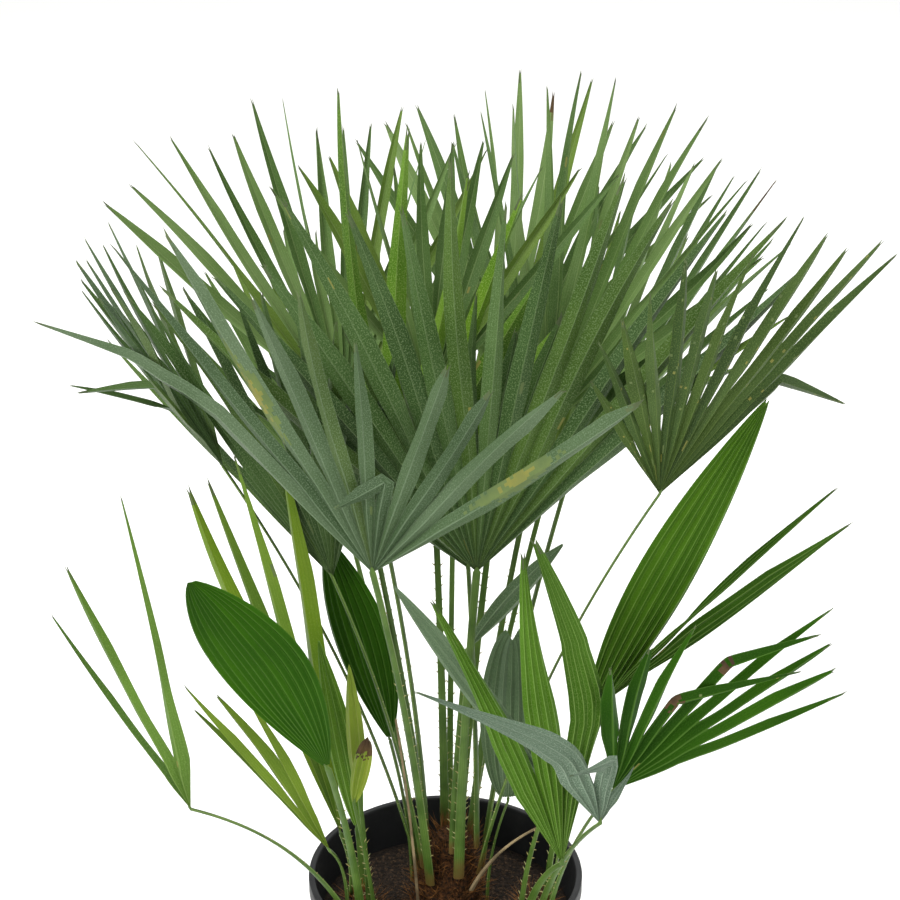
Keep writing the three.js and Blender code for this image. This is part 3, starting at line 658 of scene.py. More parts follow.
class Surface:
    """Points and faces of a piece, each face with its material slot and its UV corners."""

    def __init__(self) -> None:
        """Starts an empty surface."""
        self.points: list[Vector] = []
        self.faces: list[tuple[int, ...]] = []
        self.slots: list[int] = []
        self.corners: list[tuple[float, float]] = []

    def point(self, place: Vector) -> int:
        """Adds a point and gives its number."""
        self.points.append(place)
        return len(self.points) - 1

    def pair(self, place: Vector, half: Vector) -> Pair:
        """Adds an upper and an under point, half a thickness off a place, and gives their numbers."""
        return self.point(place + half), self.point(place - half)

    def face(self, points: Sequence[int], slot: int, corners: Sequence[tuple[float, float]]) -> None:
        """Adds a face.

        Args:
            points: Numbers of its points.
            slot: Its material slot.
            corners: UV place of each point.
        """
        self.faces.append(tuple(points))
        self.slots.append(slot)
        self.corners.extend(corners)

    def tube(self, rings: Sequence[Sequence[Vector]], slot: int, length: float) -> None:
        """Adds a closed tube with a cap at each end.

        Args:
            rings: Its rings of points, anticlockwise seen from its end.
            slot: Its material slot.
            length: UV length of the whole tube.
        """
        rows = [[self.point(place) for place in ring] for ring in rings]
        for number, (low, high) in enumerate(zip(rows, rows[1:]), 1):
            self.band(low, high, slot, length * (number - 1) / (len(rows) - 1),
                      length * number / (len(rows) - 1))
        self.close(tuple(reversed(rows[0])), slot)
        self.close(rows[-1], slot)

    def band(self, low: Sequence[int], high: Sequence[int], slot: int, near: float, far: float) -> None:
        """Adds the faces between two rings. A ring may be one point that is named again and again.

        Args:
            low: Points of the first ring.
            high: Points of the second ring.
            slot: Material slot.
            near: UV place along of the first ring.
            far: UV place along of the second ring.
        """
        sides = len(low)
        for side in range(sides):
            after = (side + 1) % sides
            u, w = side / sides, (side + 1) / sides
            corners = {low[side]: (u, near), low[after]: (w, near),
                       high[after]: (w, far), high[side]: (u, far)}
            self.face(tuple(corners), slot, tuple(corners.values()))

    def sheet(self, grid: Sequence[Sequence[Pair]], across: Sequence[float], along: Sequence[float],
              slots: Callable[[float, float], Pair]) -> None:
        """Adds a thin sheet, closed on all sides but its far end.

        Args:
            grid: Upper and under point of each column of each row.
            across: UV place of each column.
            along: UV place of each row.
            slots: Gives the under and the upper slot for a row's number and a UV place across.
        """
        last = len(across) - 1
        for row, (low, high) in enumerate(zip(grid, grid[1:])):
            near, far = along[row], along[row + 1]
            for column in range(last):
                left, right = across[column], across[column + 1]
                under, upper = slots(row + 0.5, (left + right) / 2.0)
                corners = ((left, near), (right, near), (right, far), (left, far))
                self.face((low[column][0], low[column + 1][0], high[column + 1][0], high[column][0]),
                          upper, corners)
                self.face((low[column + 1][1], low[column][1], high[column][1], high[column + 1][1]),
                          under, (corners[1], corners[0], corners[3], corners[2]))
            for column, turn in ((0, 1), (last, 0)):
                edge = across[column]
                quad = (low[column][turn], low[column][1 - turn], high[column][1 - turn], high[column][turn])
                self.face(quad, slots(row + 0.5, edge)[0],
                          ((edge, near), (edge, near), (edge, far), (edge, far)))
        self.close(tuple(reversed(self.rim(grid[0]))))

    def rim(self, line: Sequence[Pair]) -> list[int]:
        """The points round an end of a sheet."""
        return [pair[0] for pair in line] + [pair[1] for pair in reversed(line)]

    def close(self, points: Sequence[int], slot: int = 0) -> None:
        """Closes an end with one flat face."""
        self.face(points, slot, [FLAT] * len(points))

    def object(self, name: str, materials: Iterable[Material], crease: float) -> Thing:
        """Makes the Blender object.

        Args:
            name: Name of the piece.
            materials: Its material slots.
            crease: Angle in degrees from which an edge stays sharp.

        Returns:
            The object, in metres at the origin.
        """
        mesh = bpy.data.meshes.new(name)
        mesh.from_pydata([place * METRE for place in self.points], [], self.faces)
        mesh.polygons.foreach_set("material_index", self.slots)
        layer = mesh.uv_layers.new(name=UV_NAME)
        layer.data.foreach_set("uv", [value for corner in self.corners for value in corner])
        for material in materials:
            mesh.materials.append(material)
        mesh.shade_smooth()
        mesh.set_sharp_from_angle(angle=radians(crease))
        mesh.validate()
        return placed(name, mesh)


def settle(piece: Thing, slot: str, *nodes: str) -> None:
    """Fixes a finished piece to the plant and reports it.

    Args:
        piece: The piece.
        slot: Name of a material slot; not used.
        *nodes: The solids that it stands for.
    """
    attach(piece, "root")
    if nodes:
        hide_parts(*nodes)
    solids = ", ".join(nodes) or "no solid"
    LOG.info("%s: %d faces, stands for %s", piece.name, len(piece.data.polygons), solids)


@dataclass(frozen=True)
class Stem:
    """A short fibrous stem that stalks spring from.

    x and y are its foot's centre, foot and tip its radii there and at the top, lean_x and lean_y how
    far the top stands aside, flare how it widens down, crown how far it closes above crown_at,
    ridges and laps the old leaf bases round it and above each other, uneven and lap_depth how deep
    they cut into it. Fibre sizes are in metres.
    """

    name: str
    x: float
    y: float
    foot: float
    tip: float
    height: float
    lean_x: float
    lean_y: float
    fibres: int
    sides: int = 64
    steps: int = 26
    flare: float = 1.4
    crown: float = 0.7
    crown_at: float = 0.9
    ridges: int = 17
    laps: int = 5
    lap_turn: float = 9.0
    uneven: float = 0.05
    matting: float = 3.0
    matting_rise: float = 4.0
    lap_depth: float = 0.07
    crease: float = 50.0
    fibre_length: float = 0.024
    fibre_radius: float = 0.00045
    fibre_spread: float = 0.7
    fibre_rise: float = 1.6

    def at(self, level: float) -> tuple[Vector, float]:
        """Centre and radius at a level.

        Args:
            level: From 0, the foot, to 1, the tip.

        Returns:
            The centre and the radius there.
        """
        height = SOIL_TOP + SOIL_CROWN + CLEAR + self.height * level
        centre = Vector((self.x + self.lean_x * level, self.y + self.lean_y * level, height))
        radius = self.tip + (self.foot - self.tip) * (1.0 - level) ** self.flare
        return centre, radius

    def skin(self) -> Surface:
        """The stem with ridges of old leaf bases and matted fibre.

        Returns:
            Its surface, kept inside the stem's own radius.
        """
        surface = Surface()
        rings = []
        for step in range(self.steps + 1):
            level = step / self.steps
            centre, radius = self.at(level)
            girth = radius * mix(1.0, self.crown, ease((level - self.crown_at) / (1.0 - self.crown_at)))
            number, lap = divmod(level * self.laps, 1.0)
            ring = []
            for side in range(self.sides):
                angle = 2.0 * math.pi * side / self.sides
                scales = math.sin(self.ridges * angle + self.lap_turn * number) * 0.5 - 0.5
                outward = polar(math.degrees(angle), 1.0, 0.0)
                rough = noise.noise((outward + UP * level * self.matting_rise) * self.matting) * 0.5 - 0.5
                depth = 1.0 + self.uneven * (scales + rough) - self.lap_depth * lap
                ring.append(centre + outward * girth * depth)
            rings.append(ring)
        surface.tube(rings, 0, self.height)
        return surface

    def build(self, palette: Palette) -> None:
        """Makes the stem and the loose fibres that stand off it.

        Args:
            palette: The materials.
        """
        piece = self.skin().object(f"{self.name}_skin", [palette.get(STEM_FIBRE)], self.crease)
        loose = self.loose_fibres(piece, palette.get(LOOSE_FIBRE))
        settle(piece, "stem_fibre", self.name)
        settle(loose, "stem_fibre")

    def loose_fibres(self, skin: Thing, material: Material) -> Thing:
        """Scatters thin fibres that stand off the stem, mostly upwards.

        Args:
            skin: The mesh that they stand on.
            material: Their material.

        Returns:
            The fibres as one mesh.
        """
        sketch = NodeSketch(f"{self.name}_fibres")
        sketch.size("Count", self.fibres, "NodeSocketInt")
        sketch.size("Length", self.fibre_length)
        sketch.size("Radius", self.fibre_radius)
        area = sum(face.area for face in skin.data.polygons)
        points = sketch.strewn(sketch.math("DIVIDE", sketch.given("Count"), area), 4)
        spread = sketch.random("FLOAT_VECTOR", (-self.fibre_spread, -self.fibre_spread, 0.0),
                               (self.fibre_spread, self.fibre_spread, self.fibre_rise), 5)
        lean = sketch.math("ADD", points.outputs["Normal"], spread, "ShaderNodeVectorMath")
        sketch.copy(points.outputs["Points"], sketch.needle(3), sketch.aimed(lean),
                    sketch.random("FLOAT", 0.4, 1.0, 6), material)
        return sketch.made_mesh(skin, f"{self.name}_fibres")


STEMS = {
    "main": Stem("stem", 2, 4, 35, 19, 76, 4, -4, 900),
    "left": Stem("sucker_left", -66, -30, 17, 10, 34, -7, -3, 220),
    "right": Stem("sucker_right", 70, -36, 18, 10, 36, 8, -4, 220),
}


@dataclass(frozen=True)
class Kink:
    """A leaflet that is snapped: how much of it is left, where it bends, and where the rest goes."""

    leaflet: int
    share: float = 1.0
    at: float = MIDDLE
    swing: float = 0.0
    drop: float = 0.0


@dataclass(frozen=True)
class Easing:
    """A way for a leaflet to give way: bend over its face, swing sideways, or stop short."""

    bend: float
    swing: float
    share: float


EASINGS = [Easing(*values) for values in (
    (0, 0, 1), (5, 0, 1), (-5, 0, 1), (10, 3, 1), (-10, -3, 1), (0, 6, 0.95), (0, -6, 0.95),
    (16, 0, 0.9), (-16, 0, 0.9), (6, 0, 0.72), (-6, 0, 0.72), (0, 0, 0.5), (12, 0, 0.5), (-12, 0, 0.5))]
STRAIGHT = Kink(-1)


@dataclass(frozen=True)
class Frond:
    """What every frond has: a place on a stem, a stalk, and a blade that looks some way.

    Azimuths are degrees anticlockwise from +X. root is azimuth and level on the stem, hub the
    azimuth, reach and height of the point where the blade starts, bow how far the stalk's middle
    stands above its chord. face is where the blade's back looks, rise its steepness, and tilt its
    middle's lean in the blade.
    """

    name: str
    dress: Dress
    stem: str
    root: tuple[float, float]
    hub: tuple[float, float, float]
    bow: float
    stalk: float
    face: float
    rise: float
    tilt: float

    @property
    def hub_point(self) -> Vector:
        """Where the blade starts."""
        return polar(*self.hub)

    @property
    def foot_width(self) -> float:
        """Width of the stalk at the stem."""
        return self.stalk * STALK_FOOT_SPREAD

    def frame(self) -> tuple[Vector, Vector, Vector]:
        """The blade's own directions.

        Returns:
            Up its steepest line, to its upper side, and across.
        """
        rise = radians(self.rise)
        up = polar(self.face, math.cos(rise), math.sin(rise))
        upper = polar(self.face, -math.sin(rise), math.cos(rise))
        return up, upper, up.cross(upper)

    def axis(self) -> Vector:
        """Direction of the blade's middle."""
        up, _, across = self.frame()
        return up * math.cos(radians(self.tilt)) + across * math.sin(radians(self.tilt))

    def root_direction(self) -> Vector:
        """Level direction in which the stalk leaves its stem."""
        return polar(self.root[0], 1.0, 0.0)

    def stalk_ends(self) -> tuple[Vector, Vector, Vector]:
        """The three points that lead the stalk's centre line.

        Returns:
            Its start at the stem, the point that bends it, and the hub.
        """
        centre, radius = STEMS[self.stem].at(self.root[1])
        start = centre + self.root_direction() * (radius + self.foot_width * STALK_FLATNESS * 0.5 + CLEAR)
        hub = self.hub_point
        chord = (hub - start).normalized()
        lift = (UP - chord * chord.z).normalized()
        middle = start.lerp(hub, STALK_BOW_AT) + lift * 2.0 * self.bow + UP * self.bow
        return start, middle, hub


@dataclass(frozen=True)
class Fan(Frond):
    """A fan of leaflets. Its sizes follow the part's source.

    spread is the angle between the outer leaflets, reach the length of the first, middle and last
    one, split the share that is joined to its neighbours, sag how far tips droop, cup how far the
    outer leaflets lift, and folds how many ribs a leaflet has. yellowed, browned and turned_thin
    name leaflets with a yellow streak, a brown bend, or turned edge on.
    tones, where given, sets each leaflet's tone. spotted is the share of spots. taper is the share
    from which leaflets narrow, and blunt how full they stay after it: full below 1, hollow above 1.
    keel_fold is how steeply the halves of a free leaflet rise from its rib.
    """

    spread: float = 100.0
    leaflets: int = 12
    reach: tuple[float, float, float] = (250, 250, 250)
    split: float = 0.35
    wide: float = 14.0
    sag: float = 5.0
    cup: float = 5.0
    seed: int = 1
    kinks: tuple[Kink, ...] = ()
    folds: int = 1
    yellowed: tuple[int, ...] = ()
    browned: tuple[int, ...] = ()
    turned_thin: tuple[int, ...] = ()
    tones: tuple[int, ...] = ()
    spotted: float = PLAIN_SPOTS
    taper: float = 0.52
    blunt: float = 0.85
    keel_fold: float = 0.85


@dataclass(frozen=True)
class YoungBlade(Frond):
    """A young blade that hasn't split: a pleated lens.

    widest is the share of its length where it is widest, slender how hollow its outline is towards
    the ends, notch the depth of its tip's notch, burnt_from the share from which it is dead, and
    scar the share where it has a brown patch.
    """

    length: float = 200.0
    wide: float = 60.0
    widest: float = 0.5
    curl: float = 6.0
    seed: int = 30
    pleats: int = 8
    notch: float = 0.02
    slender: float = 0.8
    burnt_from: float = 2.0
    scar: float = -1.0


@dataclass(frozen=True)
class StalkShape:
    """The solid stalk of a frond, and the places of its spines.

    tongue is how far the stalk runs on under the blade and tongue_sunk how far that end lies behind
    it, slim its width as a share of the solid's, hollow and hollow_edge how flat its upper side is
    in the middle and at the edges. Spines stand spine_step apart from spine_start to spine_end,
    shifted a little, seated at a share of the width and leaning forward.
    """

    frond: Frond
    steps: int = 24
    sides: int = 12
    tongue: float = 6.0
    tongue_sunk: float = 0.9
    tongue_rings: tuple[tuple[float, float], ...] = ((0.3, 0.72), (0.7, 0.4), (1.0, 0.1))
    slim: float = 0.8
    hollow: float = 0.55
    hollow_edge: float = 0.3
    uv_length: float = 4.0
    spine_step: float = 11.0
    spine_start: float = 0.08
    spine_end: float = 0.7
    spine_shift: float = 0.35
    spine_seat: float = 0.46
    spine_forward: float = 0.9

    def middle_line(self, share: float) -> tuple[Vector, Vector]:
        """A point of the centre line and the direction there.

        Args:
            share: From 0 at the stem to 1 at the hub.

        Returns:
            The point and the unit direction.
        """
        start, middle, hub = self.frond.stalk_ends()
        back = 1.0 - share
        place = start * back * back + middle * 2.0 * back * share + hub * share * share
        heading = (middle - start) * 2.0 * back + (hub - middle) * 2.0 * share
        return place, heading.normalized()

    def section(self, share: float) -> tuple[Vector, Vector, Vector, Vector, float]:
        """The stalk's section at a share of its length.

        Args:
            share: From 0 at the stem to 1 at the hub.

        Returns:
            Centre, heading, direction across, direction to the back, and width.
        """
        place, heading = self.middle_line(share)
        across = UP.cross(self.frond.root_direction())
        across = (across - heading * across.dot(heading)).normalized()
        width = mix(self.frond.foot_width, self.frond.stalk, min(1.0, share / STALK_FOOT_SHARE))
        return place, heading, across, across.cross(heading), width * self.slim

    def ring(self, centre: Vector, across: Vector, depth: Vector, width: float) -> list[Vector]:
        """One ring: rounded below and flatter above.

        Args:
            centre: Its centre.
            across: Direction of its width.
            depth: Direction of its back.
            width: Its width.

        Returns:
            The ring's points.
        """
        points = []
        for side in range(self.sides):
            angle = 2.0 * math.pi * side / self.sides
            high = math.sin(angle)
            flat = high if high > 0.0 else high * (self.hollow + self.hollow_edge * abs(math.cos(angle)))
            points.append(centre + across * (width / 2.0 * math.cos(angle))
                          + depth * (width / 2.0 * STALK_FLATNESS * flat))
        return points

    def add_to(self, surface: Surface, slot: int) -> None:
        """Adds the stalk, and its tongue on the blade's under side.

        Args:
            surface: The surface that it is added to.
            slot: Material slot of the stalk.
        """
        rings = []
        for step in range(self.steps + 1):
            place, _, across, depth, width = self.section(step / self.steps)
            rings.append(self.ring(place, across, depth, width))
        _, upper, _ = self.frond.frame()
        axis = self.frond.axis()
        side = axis.cross(upper)
        side = side if side.dot(across) > 0.0 else -side
        for reach, girth in self.tongue_rings:
            centre = place + (axis * self.tongue - upper * self.tongue_sunk) * reach
            rings.append(self.ring(centre, side, side.cross(axis), width * girth))
        surface.tube(rings, slot, self.uv_length)

    def spines(self) -> list[tuple[Vector, Vector]]:
        """Places and headings of the forward spines along both edges.

        Returns:
            A point and a direction for each spine.
        """
        start, _, hub = self.frond.stalk_ends()
        length = (hub - start).length
        count = max(2, int(length * (self.spine_end - self.spine_start) / self.spine_step))
        found = []
        for index in range(count):
            for edge in (-1.0, 1.0):
                shift = self.spine_shift * vary(self.frond.hub[2], index + 20.0 * edge)
                share = mix(self.spine_start, self.spine_end, (index + 0.5 + shift) / count)
                place, heading, across, _, width = self.section(share)
                outward = across * edge
                seat = place + outward * (width * self.spine_seat)
                found.append((seat, (outward + heading * self.spine_forward).normalized()))
        return found


@dataclass(frozen=True)
class Ridge:
    """The fold between two leaflets: how far they are joined, and where it points."""

    distance: float
    direction: Vector


@dataclass(frozen=True)
class Leaflet:
    """One leaflet of a fan: its number, direction and length."""

    index: int
    direction: Vector
    reach: float


@dataclass(frozen=True)
class FreePath:
    """The free part of a leaflet: where it leaves the web, bends and ends."""

    keel: Vector
    middle: Vector
    tip: Vector
    half: float
    at: float
    snapped: bool


class Draw:
    """Offsets of a fan's seed, one for each quality that varies, and steps of the draw of spots."""

    TAPER = 2.2
    TWIST = 3.3
    WIDTH = 4.2
    SWAY = 5.1
    BOW = 6.4
    TONE = 7.7
    FOLD = 8.8
    BURNT = 9.9
    SPOT_ALONG = 11.3
    SPOT_ACROSS = 5.7


class FanShape:
    """Lays out a fan by the source's rule and builds its pleated leaflets.

    The values that start with web shape a leaflet's joined part, twist to fold_haste its free part,
    stub what is left of one that finds no room, tip its two fine points, and burnt to yellow its
    worn spots. The spreads are shares by which leaflets differ. fold_places are the places across a
    fold where its section has points; belly and bowl round the section out.
    """

    web_start = 0.02
    web_steps = 8
    web_fold = 0.7
    free_steps = 22
    fine_steps = 60
    free_end = 0.95
    twist = 48.0
    thin_twist = 66.0
    thin_haste = 2.0
    thin_width = 0.5
    sway = 0.018
    glance = 0.04
    width_spread = 0.14
    taper_spread = 0.22
    fold_spread = 0.4
    fold_haste = 1.6
    opened_at = 0.3
    sharp_bend = 35.0
    found_within = 0.4
    stub = 0.1
    stub_rings = (0.35, 0.7, 1.0)
    stub_narrowing = 0.9
    leaf_thickness = 0.45
    rib_thickness = 0.9
    rib_breadth = 0.1
    thinned = 0.6
    tip_reach = 0.045
    tip_droop = 0.12
    tip_spread = 0.9
    narrowest = 0.05
    belly = 0.1
    bowl = 0.4
    burnt_above = 0.97
    burnt_from = 0.88
    dry_from = 0.985
    tip_ragged = 0.05
    bend_spot = 0.035
    yellow_at = 0.4
    yellow_length = 0.34
    yellow_ragged = 0.16
    fold_places = (0.0, 0.14, 0.28, 0.42, 0.5, 0.58, 0.72, 0.86)

    def __init__(self, fan: Fan) -> None:
        """Works out what the leaflets of a fan share.

        Args:
            fan: The fan.
        """
        self.fan = fan
        self.up, self.upper, self.across = fan.frame()
        self.step = fan.spread / (fan.leaflets - 1)
        self.hub = fan.hub_point + fan.axis() * CLEAR
        self.length = max(fan.reach)
        self.leaflets = [self.leaflet(index) for index in range(fan.leaflets)]
        self.ridges = [self.ridge(index) for index in range(fan.leaflets + 1)]

    def draw(self, quality: float, index: int) -> float:
        """A leaflet's own fixed value from -1 to 1 for one quality."""
        return vary(self.fan.seed + quality, index)

    def ray(self, angle: float) -> Vector:
        """A ray of the fan.

        Args:
            angle: Degrees from the blade's steepest line.

        Returns:
            Its direction, lifted towards the outer leaflets by the cup.
        """
        fan = self.fan
        edge = (angle - fan.tilt) / (fan.spread / 2.0)
        lift = radians(fan.cup * edge * edge)
        flat = self.up * math.cos(radians(angle)) + self.across * math.sin(radians(angle))
        return flat * math.cos(lift) + self.upper * math.sin(lift)

    def leaflet(self, index: int) -> Leaflet:
        """Works out one leaflet.

        Args:
            index: Its number.

        Returns:
            The leaflet.
        """
        fan = self.fan
        first, middle, last = fan.reach
        place = 2.0 * index / (fan.leaflets - 1) - 1.0
        even = middle + place * (last - first) / 2.0 + place * place * ((first + last) / 2.0 - middle)
        angle = fan.tilt - fan.spread / 2.0 + self.step * index
        return Leaflet(index, self.ray(angle), even * (1.0 + LENGTH_SPREAD * vary(fan.seed, index)))

    def ridge(self, index: int) -> Ridge:
        """Works out the ridge before a leaflet.

        Args:
            index: The leaflet's number.

        Returns:
            The ridge.
        """
        fan = self.fan
        left = self.leaflets[max(0, index - 1)].reach
        right = self.leaflets[min(fan.leaflets - 1, index)].reach
        outer = index in (0, fan.leaflets)
        share = fan.split * (OUTER_SPLIT if outer else 1.0 + SPLIT_SPREAD * vary(fan.seed + 0.5, index))
        angle = fan.tilt - fan.spread / 2.0 + self.step * (index - 0.5)
        return Ridge(share * min(left, right), self.ray(angle))

    def on_ray(self, direction: Vector, distance: float, pleat: float) -> Vector:
        """A point on a ray, lowered by the sag and raised or sunk by the pleat.

        Args:
            direction: The ray.
            distance: Distance from the hub.
            pleat: 1 on a ridge, -1 on a keel.

        Returns:
            The point.
        """
        share = distance / self.length
        half = min(distance * math.tan(radians(self.step / 2.0)), self.fan.wide / 2.0)
        sag = UP * (-self.fan.sag * share * share)
        return self.hub + direction * distance + sag + self.upper * (pleat * FOLD * half)

    def near(self, leaflet: Leaflet) -> float:
        """How far from the hub a leaflet's keel is free."""
        return (self.ridges[leaflet.index].distance + self.ridges[leaflet.index + 1].distance) / 2.0

    def free_path(self, leaflet: Leaflet, easing: Easing) -> FreePath:
        """Where the free part of a leaflet runs.

        Args:
            leaflet: The leaflet.
            easing: How it gives way.

        Returns:
            Its path.
        """
        fan = self.fan
        kink = next((k for k in fan.kinks if k.leaflet == leaflet.index), STRAIGHT)
        near = self.near(leaflet)
        reach = near + (leaflet.reach - near) * easing.share * kink.share
        bend_at = near + (reach - near) * kink.at
        keel = self.on_ray(leaflet.direction, near, -1.0)
        hinge = leaflet.direction.cross(self.upper).normalized()
        inner = self.on_ray(leaflet.direction, bend_at, -0.5) - keel
        outer = self.on_ray(leaflet.direction, reach, 0.0) - self.on_ray(leaflet.direction, bend_at, -0.5)
        inner = turned(turned(inner, hinge, easing.bend), self.upper, -easing.swing)
        outer = turned(turned(outer, hinge, easing.bend - kink.drop), self.upper, -easing.swing - kink.swing)
        middle = keel + inner
        gap = 2.0 * bend_at * math.tan(radians(self.step / 2.0)) * SPACING
        return FreePath(keel, middle, middle + outer, min(fan.wide, gap) / 2.0, kink.at,
                        max(abs(kink.swing), abs(kink.drop)) > self.sharp_bend)

    def found_easing(self, leaflet: Leaflet, corners: KDTree) -> Easing | None:
        """Finds how a leaflet of the solid gives way.

        Args:
            leaflet: The leaflet.
            corners: The solid's corners.

        Returns:
            The easing whose tip is a corner of the solid, or None for a leaflet that ends at its split.
        """
        for easing in EASINGS:
            tip = self.free_path(leaflet, easing).tip
            if corners.find(tip * METRE)[2] < self.found_within * METRE:
                return easing
        return None

    def web_rows(self, leaflet: Leaflet) -> list[Row]:
        """Left edge, keel and right edge of a leaflet's joined part, from the hub to the split.

        Args:
            leaflet: The leaflet.

        Returns:
            One row of three points for each station.
        """
        left, right = self.ridges[leaflet.index], self.ridges[leaflet.index + 1]
        near = self.near(leaflet)
        rows = []
        for step in range(self.web_steps + 1):
            share = mix(self.web_start, 1.0, step / self.web_steps)
            keel = -1.0 - self.web_fold * math.sin(math.pi * share)
            rows.append((self.on_ray(left.direction, left.distance * share, 1.0),
                         self.on_ray(leaflet.direction, near * share, keel),
                         self.on_ray(right.direction, right.distance * share, 1.0)))
        return rows

    def free_rows(self, leaflet: Leaflet, path: FreePath, last: Row) -> list[Row]:
        """Left edge, keel and right edge of a leaflet's free part.

        Args:
            leaflet: The leaflet.
            path: Where it runs.
            last: The web's last row, which the free part goes on from.

        Returns:
            One row of three points for each station after the split.
        """
        inner, outer = path.middle - path.keel, path.tip - path.middle
        index = leaflet.index
        thin = index in self.fan.turned_thin
        twist_end = self.thin_twist if thin else self.twist * self.draw(Draw.TWIST, index)
        length = self.sway * (inner.length + outer.length)
        sway, bow = length * self.draw(Draw.SWAY, index), length * self.draw(Draw.BOW, index)
        steep = self.fan.keel_fold * (1.0 + self.fold_spread * self.draw(Draw.FOLD, index))
        broad = self.thin_width if thin else 1.0 + self.width_spread * self.draw(Draw.WIDTH, index)
        taper = self.fan.taper * (1.0 + self.taper_spread * self.draw(Draw.TAPER, index))
        pull = 0.0 if path.snapped else 0.5
        side = inner.cross(self.upper).normalized()
        left_offset, right_offset = last[0] - last[1], last[2] - last[1]
        marked = self.fan.yellowed + self.fan.browned
        patchy = index in marked or self.fan.spotted > PLAIN_SPOTS
        steps = self.fine_steps if patchy else self.free_steps
        rows = []
        for step in range(1, steps + 1):
            share = self.free_end * step / steps
            arch = math.sin(math.pi * share)
            centre = self.bent(path, share, pull) + (side * sway + self.upper * bow) * arch
            ahead = self.bent(path, min(1.0, share + self.glance), pull)
            heading = ahead - self.bent(path, share - self.glance, pull)
            across = heading.cross(self.upper).normalized()
            upper = across.cross(heading).normalized()
            growth = ease(share * self.thin_haste) if thin else share ** 2
            turn = Quaternion(heading.normalized(), radians(twist_end * growth))
            across, upper = turn @ across, turn @ upper
            fold = mix(FOLD, steep, ease(share * self.fold_haste))
            narrowed = self.breadth(share, taper) * math.sqrt((1.0 + FOLD ** 2) / (1.0 + fold ** 2))
            half = path.half * broad * narrowed
            opened = ease(share / self.opened_at)
            rows.append((centre + left_offset.lerp((upper * fold - across) * half, opened), centre,
                         centre + right_offset.lerp((upper * fold + across) * half, opened)))
        return rows

    @staticmethod
    def bent(path: FreePath, share: float, pull: float) -> Vector:
        """A point of the keel line, rounded off where it bends.

        Args:
            path: The leaflet's path.
            share: From 0 at the split to 1 at the tip.
            pull: How far the bend is rounded, from 0 to 0.5.

        Returns:
            The point.
        """
        def broken(at: float) -> Vector:
            """A point of the line with its sharp bend.

            Args:
                at: From 0 at the split to 1 at the tip.

            Returns:
                The point.
            """
            if at < path.at:
                return path.keel.lerp(path.middle, at / path.at)
            return path.middle.lerp(path.tip, (at - path.at) / (1.0 - path.at))

        reach = pull * min(share, 1.0 - share)
        return (broken(share - reach) + broken(share) + broken(share + reach)) / 3.0

    def breadth(self, share: float, taper: float) -> float:
        """Share of its full breadth that a free leaflet has: 1 up to the taper, then ever less."""
        left = 1.0 - max(0.0, (share - taper) / (1.0 - taper))
        return mix(self.narrowest, 1.0, left ** self.fan.blunt)

    def stub_rows(self, leaflet: Leaflet, last: Row) -> list[Row]:
        """A short pointed end for a leaflet that finds no room.

        Args:
            leaflet: The leaflet.
            last: The web's last row.

        Returns:
            Rows that close within a short way of the split.
        """
        reach = self.stub * (leaflet.reach - self.near(leaflet))
        rows = []
        for share in self.stub_rings:
            centre = last[1] + leaflet.direction * reach * share
            narrow = 1.0 - self.stub_narrowing * share
            edges = [centre + (last[side] - last[1]) * narrow for side in (0, 2)]
            rows.append((edges[0], centre, edges[1]))
        return rows

    def slots(self, leaflet: Leaflet, share: float, across: float) -> Pair:
        """Material slots of a leaflet's under and upper side at a place.

        Args:
            leaflet: The leaflet.
            share: Share of its free part, below 0 where it is joined.
            across: From -1 on the left edge to 1 on the right.

        Returns:
            The slot of the under side and that of the upper side.
        """
        fan, index = self.fan, leaflet.index
        chance = vary(fan.seed + Draw.SPOT_ALONG * share, index + Draw.SPOT_ACROSS * across)
        tone = int(0.499 * len(TONES) * (1.0 + self.draw(Draw.TONE, index)))
        tone = fan.tones[index] if fan.tones else tone
        burnt = self.draw(Draw.BURNT, index) > self.burnt_above
        bend = next((kink.at for kink in fan.kinks if kink.leaflet == index), MIDDLE)
        worn = None
        if share > (self.burnt_from if burnt else self.dry_from) + self.tip_ragged * chance:
            worn = Slot.BURNT if burnt else Slot.TIP
        elif index in fan.browned and abs(share - bend) < self.bend_spot * (1.0 + chance):
            worn = Slot.BURNT
        elif index in fan.yellowed:
            away = abs(share - self.yellow_at) / self.yellow_length + 0.5 * abs(across - self.yellow_at)
            faded = away - self.yellow_ragged * chance
            worn = Slot.YELLOWED if faded < 0.3 else Slot.YELLOWING if faded < 0.7 else None
        elif chance > 1.0 - fan.spotted:
            worn = Slot.YELLOWED if chance > 1.0 - 0.5 * fan.spotted else Slot.YELLOWING
        return (worn, worn) if worn else (2 * tone, 2 * tone + 1)

    def place(self, row: Row, fold: float) -> Vector:
        """A point of a row's pleated line.

        Args:
            row: Left edge, keel and right edge.
            fold: How many folds the point lies from the left edge.

        Returns:
            The point.
        """
        left, keel, right = row
        share, phase = fold / self.fan.folds, fold % 1.0
        chord = left.lerp(right, share)
        depth = keel - left.lerp(right, 0.5)
        wave = 1.0 - abs(2.0 * phase - 1.0)
        if self.fan.folds == 1:
            return chord + depth * (wave + self.belly * math.sin(2.0 * math.pi * phase) ** 2)
        return chord + depth * (4.0 * self.bowl * share * (1.0 - share) + wave / self.fan.folds)

